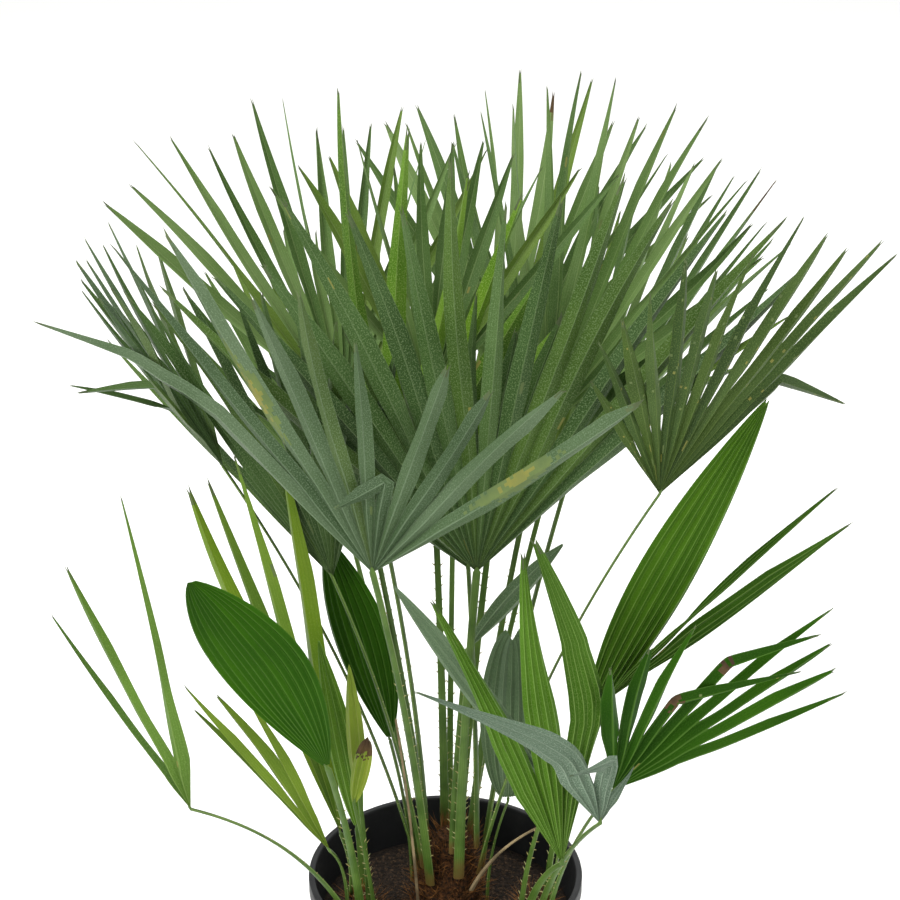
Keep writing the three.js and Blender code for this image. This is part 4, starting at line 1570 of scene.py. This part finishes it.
    def add_leaflet(self, surface: Surface, leaflet: Leaflet, easing: Easing | None) -> None:
        """Adds one leaflet as a closed, thin, folded strip with two fine tips.

        Args:
            surface: The surface that it is added to.
            leaflet: The leaflet.
            easing: How it gives way, or None for a stub.
        """
        rows = self.web_rows(leaflet)
        if easing:
            rows += self.free_rows(leaflet, self.free_path(leaflet, easing), rows[-1])
        else:
            rows += self.stub_rows(leaflet, rows[-1])
        folds = [fold + place for fold in range(self.fan.folds) for place in self.fold_places]
        folds.append(self.fan.folds)
        free = len(rows) - self.web_steps - 1
        grid, along, lift = [], [0.0], self.upper
        for number, row in enumerate(rows):
            ahead = rows[min(number + 1, len(rows) - 1)][1] - rows[max(number - 1, 0)][1]
            square = (row[2] - row[0]).cross(ahead).normalized()
            lift = square if square.dot(lift) >= 0.0 else -square
            slim = 1.0 - self.thinned * max(0.0, (number - self.web_steps) / free)
            grid.append([surface.pair(self.place(row, fold), lift * (self.thickness(fold) * slim / 2.0))
                         for fold in folds])
            if number:
                along.append(along[-1] + (row[1] - rows[number - 1][1]).length * UV_PER_MM)

        def slots(row: float, fold: float) -> Pair:
            """Slots of the leaflet's two sides."""
            return self.slots(leaflet, (row - self.web_steps) / free, 2.0 * fold / self.fan.folds - 1.0)

        surface.sheet(grid, folds, along, slots)
        self.add_tips(surface, leaflet, grid[-1], rows)

    def thickness(self, fold: float) -> float:
        """Thickness of a leaflet at a place across, thicker at its ribs."""
        rib = max(0.0, 1.0 - abs(fold % 1.0 - 0.5) / self.rib_breadth)
        return mix(self.leaf_thickness, self.rib_thickness, rib)

    def add_tips(self, surface: Surface, leaflet: Leaflet, line: Sequence[Pair], rows: list[Row]) -> None:
        """Closes a leaflet with two fine points, one for each half.

        Args:
            surface: The surface that they are added to.
            leaflet: The leaflet.
            line: Upper and under point of each column of the last row.
            rows: Its rows of edge, keel and edge.
        """
        left, keel, right = rows[-1]
        heading = (keel - rows[-2][1]).normalized()
        length = (keel - rows[self.web_steps][1]).length * self.tip_reach
        under, upper = self.slots(leaflet, 1.1, 0.0)
        centre, last = len(line) // 2, len(line) - 1
        for side, edge, first, end in ((-1, left, 0, centre), (1, right, centre, last)):
            droop = UP * (self.tip_droop * length * (1.0 + vary(self.fan.seed, leaflet.index + side)))
            reach = heading * length * (0.8 + 0.2 * vary(side, leaflet.index))
            point = surface.point(keel.lerp(edge, self.tip_spread) + reach - droop)
            for column in range(first, end):
                surface.face((line[column][0], line[column + 1][0], point), upper, [FLAT] * 3)
                surface.face((line[column + 1][1], line[column][1], point), under, [FLAT] * 3)
            surface.face((line[first][1], line[first][0], point), under, [FLAT] * 3)
            surface.face((line[end][0], line[end][1], point), under, [FLAT] * 3)

    def add_to(self, surface: Surface, solid: Thing) -> None:
        """Adds every leaflet of the fan.

        Args:
            surface: The surface that they are added to.
            solid: The fan's solid, which shows where leaflets give way.
        """
        corners = KDTree(len(solid.data.vertices))
        for number, vertex in enumerate(solid.data.vertices):
            corners.insert(vertex.co, number)
        corners.balance()
        stubs = 0
        for leaflet in self.leaflets:
            easing = self.found_easing(leaflet, corners)
            stubs += easing is None
            self.add_leaflet(surface, leaflet, easing)
        if stubs:
            LOG.info("%s: %d leaflets end at their split", self.fan.name, stubs)


class YoungShape:
    """Builds a young blade: pleated from edge to edge, with a notched tip.

    deepest is the depth of its pleats, steepest their depth as a share of their width, waviness how
    far the sheet waves over wave_steps, rim_power how suddenly its rims rise. The scar's length,
    place across and width are shares of the blade.
    """

    steps = 34
    places_per_pleat = 4
    start = 0.02
    end = 0.99
    thickness = 0.6
    deepest = 2.6
    steepest = 0.8
    waviness = 0.05
    wave_steps = 3.0
    rim_power = 1.3
    notched_from = 0.8
    scar_length = 0.09
    scar_across = 0.6
    scar_width = 0.24
    burnt_ragged = 0.08

    def __init__(self, blade: YoungBlade) -> None:
        """Works out the blade's own directions.

        Args:
            blade: The young blade.
        """
        self.blade = blade
        self.axis = blade.axis()
        _, self.upper, _ = blade.frame()
        self.across = self.axis.cross(self.upper)

    def half_width(self, share: float) -> float:
        """Half the blade's width at a share of its length."""
        power = math.log(0.5) / math.log(self.blade.widest)
        return self.blade.wide / 2.0 * math.sin(math.pi * share ** power) ** self.blade.slender

    def place(self, share: float, across: float) -> Vector:
        """A point of the pleated sheet.

        Args:
            share: From 0 at the hub to 1 at the tip.
            across: From -1 to 1.

        Returns:
            The point.
        """
        blade = self.blade
        half = self.half_width(share)
        pleat = abs((across + 1.0) * blade.pleats % 2.0 - 1.0)
        depth = min(self.deepest, self.steepest * half / blade.pleats)
        sag = blade.curl * share * share
        ripple = noise.noise(Vector((share * self.wave_steps, across, blade.seed)))
        wave = self.waviness * half * ripple
        tip = ease((share - self.notched_from) / (1.0 - self.notched_from))
        notch = blade.length * blade.notch * (1.0 - abs(across)) * tip
        rim = YOUNG_FOLD * half * abs(across) ** self.rim_power
        return (blade.hub_point + self.axis * (blade.length * share - notch)
                + self.across * (half * across)
                + self.upper * (rim - sag + depth * (pleat - 0.5) + wave))

    def slots(self, row: float, pleat: float) -> Pair:
        """Material slots of the blade's under and upper side at a place. Its outer edges are plain.

        Args:
            row: How many steps it lies from the hub.
            pleat: How many pleats it lies from the left edge.

        Returns:
            The slot of the under side and that of the upper side.
        """
        share, blade = row / self.steps, self.blade
        if pleat in (0.0, blade.pleats):
            return 0, 1
        column = int(pleat * self.places_per_pleat)
        chance = vary(blade.seed + 3.1 * share, column)
        away = (share - blade.scar) / self.scar_length
        aside = (pleat / blade.pleats - self.scar_across) / self.scar_width
        scarred = away ** 2 + aside ** 2 < 0.7 + 0.6 * chance
        if scarred or share > blade.burnt_from + self.burnt_ragged * chance:
            return Slot.BURNT, Slot.BURNT
        # pale and dark tones dealt out at random by pleat: painted light and shade in bands along the pleats
        tone = max(0, int(1.5 + 1.5 * vary(blade.seed, column // self.places_per_pleat)) - 1)
        return 2 * tone, 2 * tone + 1

    def add_to(self, surface: Surface) -> None:
        """Adds the blade as a thin closed sheet.

        Args:
            surface: The surface that it is added to.
        """
        places = [column / self.places_per_pleat
                  for column in range(self.blade.pleats * self.places_per_pleat + 1)]
        half = self.upper * (self.thickness / 2.0)
        grid = []
        for step in range(self.steps + 1):
            share = mix(self.start, self.end, step / self.steps)
            grid.append([surface.pair(self.place(share, 2.0 * place / self.blade.pleats - 1.0), half)
                         for place in places])
        along = [self.blade.length * UV_PER_MM * step / self.steps for step in range(self.steps + 1)]
        surface.sheet(grid, places, along, self.slots)
        surface.close(surface.rim(grid[-1]))


FULL_FANS = [
    Fan("front_left", Dress.GLAUCOUS, "main", (234, 0.5), (243, 124, 567), 8, 8, 248, 84, 0.5,
        101, 11, (268, 222, 395), 0.3, 16, 4, 6, 1,
        (Kink(4, 0.46, 0.37, 131, 25), Kink(10, 0.84, 0.45, 30, 0)),
        yellowed=(0, 8), taper=0.68),
    Fan("front_right", Dress.DEEP, "main", (285, 0.62), (293, 65, 540), 5, 8.5, 272, 84, 0,
        88, 14, (392, 360, 335), 0.34, 19, 4, 5, 2),
    Fan("front_behind", Dress.DEEP, "main", (335, 0.9), (0, 19, 511), 3, 7, 276, 88, 3,
        92, 12, (200, 250, 250), 0.38, 16, 4, 4, 3, turned_thin=(1, 8)),
    Fan("centre", Dress.LUSH, "main", (160, 0.9), (152.3, 54.1, 517), 5, 7, 268, 90, -15,
        40, 6, (254, 350, 398), 0.3, 22, 4, 3, 15, keel_fold=1.6),
    Fan("back_left", Dress.GREEN, "main", (138, 0.62), (130, 131, 604), 8, 7, 120, 70, -1,
        80, 15, (300, 268, 262), 0.36, 12.5, 4, 6, 4, turned_thin=(2, 7, 12)),
    Fan("left", Dress.GLAUCOUS, "main", (180, 0.5), (177, 181, 600), 14, 5, 184, 57, 8,
        80, 14, (170, 215, 225), 0.36, 13, 6, 8, 5,
        (Kink(1, 1, 0.44, -3, 51), Kink(2, 1, 0.09, -12, 25)), turned_thin=(4, 9)),
    Fan("left_low", Dress.DEEP, "main", (205, 0.62), (184, 93, 506), 8, 6, 235, 74, 16,
        72, 15, (260, 290, 280), 0.42, 15, 6, 6, 6, turned_thin=(9, 12)),
    Fan("right", Dress.RUSTY, "main", (333, 0.55), (332, 189, 625), 14, 5, 292, 74, -9,
        80, 13, (262, 250, 150), 0.34, 12.5, 5, 6, 7, (Kink(0, 0.81, 0.35, -72, 0),), spotted=0.03),
    Fan("back_middle", Dress.GREEN, "main", (105, 0.85), (102, 61, 637), 6, 7, 100, 76, 4,
        74, 12, (240, 215, 235), 0.36, 13, 5, 6, 8, turned_thin=(3, 9)),
    Fan("back", Dress.GREEN, "main", (76, 0.55), (74, 205, 590), 10, 7, 76, 62, 2,
        80, 13, (262, 272, 262), 0.36, 12.5, 5, 6, 9, turned_thin=(4, 10)),
    Fan("back_right", Dress.GREEN, "main", (48, 0.8), (50, 128, 592), 8, 7, 46, 70, 0,
        86, 14, (290, 300, 300), 0.36, 12.5, 5, 6, 10, turned_thin=(2, 11)),
    Fan("right_back", Dress.GREEN, "main", (18, 0.45), (33, 125, 566), 9, 7, 12, 58, 0,
        84, 14, (265, 295, 285), 0.36, 12.5, 5, 6, 11, turned_thin=(5, 8)),
    Fan("low_back_left", Dress.GREEN, "main", (140, 0.25), (122, 168, 490), 10, 6, 118, 56, 10,
        80, 13, (230, 260, 250), 0.36, 12.5, 8, 6, 12),
    Fan("low_back", Dress.GREEN, "main", (90, 0.25), (88, 190, 458), 12, 6, 88, 44, 0,
        104, 13, (230, 260, 230), 0.36, 12.5, 10, 6, 13),
    Fan("low_back_right", Dress.GREEN, "main", (66, 0.25), (62, 190, 500), 10, 6, 66, 56, -6,
        92, 13, (240, 260, 230), 0.36, 12.5, 8, 6, 14),
]

SMALL_FANS = [
    Fan("right_pair", Dress.SUNLIT, "right", (352, 0.6), (343, 135, 404), 5, 5, 300, 74, -50,
        12, 2, (268, 268, 268), 0.16, 27, 12, 0, 21, (), 4, turned_thin=(1,)),
    Fan("right_low", Dress.YOUNG, "right", (322, 0.3), (330, 160, 346), 8, 6, 300, 74, -38,
        96, 9, (250, 225, 150), 0.3, 17, 10, 4, 22,
        (Kink(4, 1, 0.47, -41, 4), Kink(5, 1, 0.26, -55, 10)), browned=(4, 5)),
    Fan("front_young", Dress.FRESH, "right", (250, 0.35), (308, 156, 303), 8, 7, 285, 90, 7,
        31, 3, (334, 286, 290), 0.32, 28, 4, 2, 24,
        (Kink(0, 1, 0.28, 27, 0),), 4, tones=(2, 0, 0), taper=0.3, blunt=0.75),
    Fan("right_front", Dress.SILVER, "right", (285, 0.75), (311.2, 188.8, 355), 8, 6, 300, 88, -8,
        60, 3, (56, 124, 262), 0.26, 27, 8, 4, 23,
        (Kink(1, 1, 0.3, 76, 24), Kink(2, 1, 0.165, 33, -4)), 3, tones=(0, 0, 0), taper=0.14, blunt=1.5),
    Fan("left_low_group", Dress.OLIVE, "left", (196, 0.5), (212, 115, 273), 8, 6, 240, 70, 24,
        24, 4, (205, 205, 190), 0.24, 21, 8, 2, 25),
    Fan("left_tall_group", Dress.BRIGHT, "left", (140, 0.8), (193, 92, 262), 4, 6, 235, 84, 14.5,
        19, 4, (370, 360, 322), 0.3, 19, 5, 2, 26),
    Fan("far_left", Dress.MEADOW, "left", (238, 0.2), (196, 222, 315), 16, 6, 240, 80, 19,
        31, 3, (352, 268, 220), 0.2, 11, 8, 2, 27),
]

YOUNG_BLADES = [
    YoungBlade("young_right", Dress.SUNLIT, "right", (40, 0.8), (351, 125, 384), 6, 6, 280, 82, -21.5,
               335, 51, 0.42, 10, 31, 7),
    YoungBlade("young_left", Dress.YOUNG, "left", (265, 0.8), (232, 153, 393), 6, 7, 250, 78, 26,
               208, 88, 0.55, 10, 32, 12, 0.0, 0.72),
    YoungBlade("young_dark", Dress.YOUNG, "main", (165, 0.25), (156, 52, 330), 4, 6, 250, 84, 12,
               212, 54, 0.5, 6, 33, 8),
    YoungBlade("young_small", Dress.GREY, "main", (345, 0.12), (349, 55, 290), 4, 5, 275, 86, 0,
               182, 50, 0.5, 6, 34, 7, 0.06, 0.45, scar=0.42),
    YoungBlade("folded_leaf", Dress.GREY, "main", (270, 0.92), (300, 35, 451), 2, 5, 290, 80, -38,
               125, 22, 0.5, 4, 35, 2),
    YoungBlade("spear", Dress.FRESH, "left", (90, 0.9), (207, 84, 279), 2, 6, 250, 84, 6.5,
               197, 26, 0.4, 2, 36, 4, 0.0),
    YoungBlade("front_grey", Dress.GREY, "right", (225, 0.6), (315, 125, 349), 6, 5, 270, 86, 32,
               245, 21, 0.45, 5, 37, 3),
    YoungBlade("yellow_leaf", Dress.YELLOW, "left", (300, 0.9), (221, 95, 329), 2, 5, 262, 86, 2,
               135, 15, 0.4, 2, 38, 2),
    YoungBlade("old_stub", Dress.YELLOW, "left", (310, 0.55), (226.6, 110.1, 333.3), 2, 4, 262, 86, -11,
               68, 15, 0.55, 1, 39, 3, -0.05, 0.4, 0.74),
]

DRY_STALKS = [
    Frond("dry_stalk_left", Dress.GREEN, "main", (215, 0.2), (232, 66, 395), 3, 3.4, 232, 88, 0),
    Frond("dry_stalk_right", Dress.GREEN, "main", (310, 0.4), (338, 92, 282), 6, 5, 338, 40, 0),
]


class Crown:
    """All fronds of the palm, with their stalks and spines."""

    crease = 32.0
    spine_length = 0.0042
    spine_radius = 0.0006

    def __init__(self, nodes: dict[str, Thing], palette: Palette) -> None:
        """Keeps the solids and the materials.

        Args:
            nodes: The part's solids by name.
            palette: The materials.
        """
        self.nodes = nodes
        self.palette = palette
        self.spines: list[tuple[Vector, Vector]] = []

    def grow_stalk(self, frond: Frond, surface: Surface) -> None:
        """Adds a frond's stalk to a surface and remembers its spines.

        Args:
            frond: The frond.
            surface: The surface.
        """
        shape = StalkShape(frond)
        shape.add_to(surface, Slot.STALK)
        self.spines += shape.spines()

    def finish(self, name: str, dress: Dress, surface: Surface, slot: str, node: str) -> None:
        """Makes a frond's piece from its surface and fixes it in place of a solid."""
        settle(surface.object(name, self.palette.leaf(dress), self.crease), slot, node)

    def build(self) -> None:
        """Makes every frond."""
        for fan in FULL_FANS:
            stalk = Surface()
            self.grow_stalk(fan, stalk)
            self.finish(f"petiole_{fan.name}", fan.dress, stalk, "stalk_green", f"stalk_{fan.name}")
            blade = Surface()
            FanShape(fan).add_to(blade, self.nodes[f"fan_{fan.name}"])
            self.finish(f"blade_{fan.name}", fan.dress, blade, self.slot_of(fan), f"fan_{fan.name}")
        for frond in SMALL_FANS + YOUNG_BLADES:
            surface = Surface()
            self.grow_stalk(frond, surface)
            if isinstance(frond, Fan):
                piece, node = f"leaves_{frond.name}", f"frond_{frond.name}"
                FanShape(frond).add_to(surface, self.nodes[node])
            else:
                piece, node = f"juvenile_{frond.name}", f"leaf_{frond.name}"
                YoungShape(frond).add_to(surface)
            self.finish(piece, frond.dress, surface, self.slot_of(frond), node)
        for frond in DRY_STALKS:
            surface = Surface()
            StalkShape(frond, sides=8, tongue=4.0).add_to(surface, 0)
            piece = surface.object(f"{frond.name}_skin", [self.palette.get(DEAD_STALK)], self.crease)
            settle(piece, "stalk_dry", frond.name)
        self.build_spines()

    @staticmethod
    def slot_of(frond: Frond) -> str:
        """Finds the record's material slot for a frond's blade.

        Args:
            frond: The frond.

        Returns:
            The slot's name.
        """
        if frond.dress in (Dress.GLAUCOUS, Dress.GREY, Dress.SILVER):
            return "leaf_glaucous"
        return "leaf_bright" if frond.dress in (Dress.BRIGHT, Dress.OLIVE, Dress.MEADOW) else "leaf_green"

    def build_spines(self) -> None:
        """Sets a small spine on each remembered place."""
        mesh = bpy.data.meshes.new("spine_guide")
        mesh.from_pydata([place * METRE for place, _ in self.spines], [], [])
        heading = mesh.attributes.new("heading", "FLOAT_VECTOR", "POINT")
        heading.data.foreach_set("vector", [value for _, way in self.spines for value in way])
        guide = placed("spine_guide", mesh)
        sketch = NodeSketch("stalk_spines")
        sketch.size("Length", self.spine_length)
        sketch.size("Radius", self.spine_radius)
        way = sketch.node("GeometryNodeInputNamedAttribute", {"Name": "heading"}, data_type="FLOAT_VECTOR")
        sketch.copy(sketch.given("Geometry"), sketch.needle(5), sketch.aimed(way.outputs["Attribute"]),
                    sketch.random("FLOAT", 0.6, 1.15, 5), self.palette.get(SPINE))
        settle(sketch.made_mesh(guide, "petiole_spines"), "stalk_green")
        bpy.data.objects.remove(guide)


@dataclass(frozen=True)
class NurseryPot:
    """The tapered round pot with its moulded rim band, and the soil in it.

    wall, lip and groove are steps of its radius, wall_rings and inner_rings heights of its outline.
    rim_outline gives how far each point lies inside the rim's radius and below its top,
    mouth_outline how far outside the inner wall and below the top. Grain sizes are in metres.
    """

    height: float = 210.0
    rim: float = 120.0
    base: float = 93.0
    wall: float = 2.4
    band: float = 17.0
    lip: float = 3.6
    groove: float = 0.4
    bevel: float = 3.0
    crease: float = 40.0
    sides: int = 144
    soil_level: float = 0.85
    grains: int = 2600
    grain_size: float = 0.0016
    grain_reach: float = 96.0
    grain_sunk: float = 0.6
    wall_rings = (60.0, 120.0, 192.0)
    inner_rings = (190.0, 188.6, 150.0, 60.0)
    rim_outline = ((1.0, 15.4), (0.2, 14.4), (0.2, 4.0), (0.0, 2.2), (0.3, 0.7), (1.2, 0.0))
    mouth_outline = ((1.0, 0.0), (0.2, 0.8), (0.0, 2.0))

    def wall_radius(self, height: float) -> float:
        """Radius of the outer wall at a height."""
        return self.base + (self.rim - self.lip - self.base) * height / self.height

    def profile(self) -> list[tuple[float, float]]:
        """The pot's outline from the middle of its underside over the rim to its inner floor.

        Returns:
            Radius and height of each point.
        """
        under_band = self.height - self.band
        bevel = [(math.cos(radians(angle)) ** 2, math.sin(radians(angle))) for angle in (30, 60, 90)]
        inner = self.wall_radius(self.height) - self.wall
        outline = [(0.0, 0.0), (self.base - self.bevel, 0.0)]
        outline += [(self.base - self.bevel * inset, self.bevel * up) for inset, up in bevel]
        outline += [(self.wall_radius(h), h) for h in self.wall_rings]
        outline.append((self.wall_radius(under_band) + self.groove, under_band))
        outline += [(self.rim - inset, self.height - depth) for inset, depth in self.rim_outline]
        outline += [(inner + offset, self.height - depth) for offset, depth in self.mouth_outline]
        outline += [(self.wall_radius(h) - self.wall, h) for h in (*self.inner_rings, self.wall)]
        outline.append((0.0, self.wall))
        return outline

    def turned_surface(self, outline: Sequence[tuple[float, float]]) -> Surface:
        """Turns an outline about the pot's axis.

        Args:
            outline: Radius and height of each point, from the axis back to the axis.

        Returns:
            The closed surface.
        """
        surface = Surface()
        rows = []
        for radius, height in outline:
            if radius == 0.0:
                rows.append([surface.point(Vector((0.0, 0.0, height)))] * self.sides)
                continue
            rows.append([surface.point(polar(360.0 * side / self.sides, radius, height))
                         for side in range(self.sides)])
        for number, (low, high) in enumerate(zip(rows, rows[1:])):
            surface.band(low, high, 0, number / len(rows), (number + 1) / len(rows))
        return surface

    def soil_outline(self) -> list[tuple[float, float]]:
        """Outline of the soil, rounded up to its level middle.

        Returns:
            Radius and height of each point.
        """
        inset = self.wall + CLEAR
        top = SOIL_TOP + SOIL_CROWN
        edge = self.wall_radius(SOIL_TOP) - inset
        outline = [(0.0, inset), (self.wall_radius(inset) - inset, inset), (edge, SOIL_TOP)]
        for share in (0.25, 0.5, 0.75, 1.0):
            outline.append((mix(edge, edge * self.soil_level, share), SOIL_TOP + SOIL_CROWN * ease(share)))
        outline += [(edge * share, top) for share in (0.78, 0.7, 0.6, 0.5, 0.4, 0.3, 0.2, 0.1, 0.0)]
        return outline

    def build(self, palette: Palette) -> None:
        """Makes the pot, the soil and the grains on it.

        Args:
            palette: The materials.
        """
        pot = self.turned_surface(self.profile()).object("nursery_pot", [palette.get(POT)], self.crease)
        settle(pot, "pot_plastic", "pot")
        soil = self.turned_surface(self.soil_outline()).object("soil_bed", [palette.get(SOIL)], self.crease)
        settle(soil, "potting_soil", "soil")
        settle(self.grain_mesh(palette), "potting_soil")

    def grain_mesh(self, palette: Palette) -> Thing:
        """Scatters grains over the soil.

        Args:
            palette: The materials.

        Returns:
            The grains as one mesh.
        """
        bed = Surface()
        level = SOIL_TOP + SOIL_CROWN - self.grain_sunk
        ring = [bed.point(polar(10.0 * side, self.grain_reach, level)) for side in range(36)]
        bed.close(ring)
        guide = bed.object("grain_guide", [palette.get(GRAIN)], self.crease)
        sketch = NodeSketch("soil_grains")
        sketch.size("Density", self.grains / (math.pi * (self.grain_reach * METRE) ** 2))
        sketch.size("Size", self.grain_size)
        points = sketch.strewn(sketch.given("Density"), 7)
        grain = sketch.node("GeometryNodeMeshIcoSphere", {"Subdivisions": 1, "Radius": sketch.given("Size")})
        scale = sketch.random("FLOAT_VECTOR", (0.5, 0.5, 0.35), (1.9, 1.6, 1.0), 8)
        angles = sketch.random("FLOAT_VECTOR", (0.0, 0.0, 0.0), (0.6, 0.6, 6.28), 9)
        turn = sketch.node("FunctionNodeEulerToRotation", {"Euler": angles})
        sketch.copy(points.outputs["Points"], grain.outputs["Mesh"], turn.outputs["Rotation"], scale,
                    palette.get(GRAIN))
        made = sketch.made_mesh(guide, "soil_grains")
        bpy.data.objects.remove(guide)
        return made


@dataclass(frozen=True)
class Lamp:
    """A soft square light: its place and its side in metres, and its power in watts."""

    name: str
    place: tuple[float, float, float]
    side: float
    power: float

    def hang(self, target: Vector) -> None:
        """Hangs the light.

        Args:
            target: The point that it looks at, in metres.
        """
        data = bpy.data.lights.new(self.name, "AREA")
        data.shape = "SQUARE"
        data.size = self.side
        data.energy = self.power
        lamp = placed(self.name, data)
        lamp.location = self.place
        lamp.rotation_euler = (target - Vector(self.place)).to_track_quat("-Z", "Y").to_euler()


LAMPS = (Lamp("key", (-1.5, -1.7, 2.7), 1.3, 70.0), Lamp("fill", (2.3, -1.4, 1.7), 2.4, 22.0),
         Lamp("top", (0.4, 1.0, 3.0), 1.8, 60.0))


@dataclass(frozen=True)
class Studio:
    """Camera, pale floor, white air and soft lights."""

    lens: float = 104.36
    pitch: float = 25.84
    stand: tuple[float, float, float] = (0.004, -1.9, 1.54)
    floor_size: float = 14.0
    air: float = 0.9
    aim_height: float = 0.45

    def build(self, palette: Palette) -> None:
        """Sets everything round the plant.

        Args:
            palette: The materials.
        """
        self.set_camera()
        self.lay_floor(palette)
        for lamp in LAMPS:
            lamp.hang(UP * self.aim_height)
        world = bpy.data.worlds.new("studio_air")
        world.use_nodes = True
        world.node_tree.nodes["Background"].inputs["Color"].default_value = (1.0, 1.0, 1.0, 1.0)
        world.node_tree.nodes["Background"].inputs["Strength"].default_value = self.air
        bpy.context.scene.world = world
        bpy.context.scene.view_settings.view_transform = "Standard"

    def set_camera(self) -> None:
        """Sets the camera where the photograph was taken from."""
        data = bpy.data.cameras.new("camera")
        data.lens = self.lens
        data.clip_end = 60.0
        camera = placed("camera", data)
        camera.location = self.stand
        camera.rotation_euler = (radians(90.0 - self.pitch), 0.0, 0.0)
        bpy.context.scene.camera = camera

    def lay_floor(self, palette: Palette) -> None:
        """Lays the floor under the pot.

        Args:
            palette: The materials.
        """
        half = self.floor_size / 2.0
        mesh = bpy.data.meshes.new("studio_floor")
        corners = [(-half, -half, 0.0), (half, -half, 0.0), (half, half, 0.0), (-half, half, 0.0)]
        mesh.from_pydata(corners, [], [(0, 1, 2, 3)])
        mesh.materials.append(palette.get(FLOOR))
        placed("studio_floor", mesh)


def main() -> None:
    """Builds the palm, its pot and the studio in order."""
    logging.basicConfig(level=logging.INFO, format="%(name)s: %(message)s")
    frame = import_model()
    palette = Palette()
    Studio().build(palette)
    NurseryPot().build(palette)
    for stem in STEMS.values():
        stem.build(palette)
    Crown(frame["nodes"], palette).build()


if __name__ == "__main__":
    main()
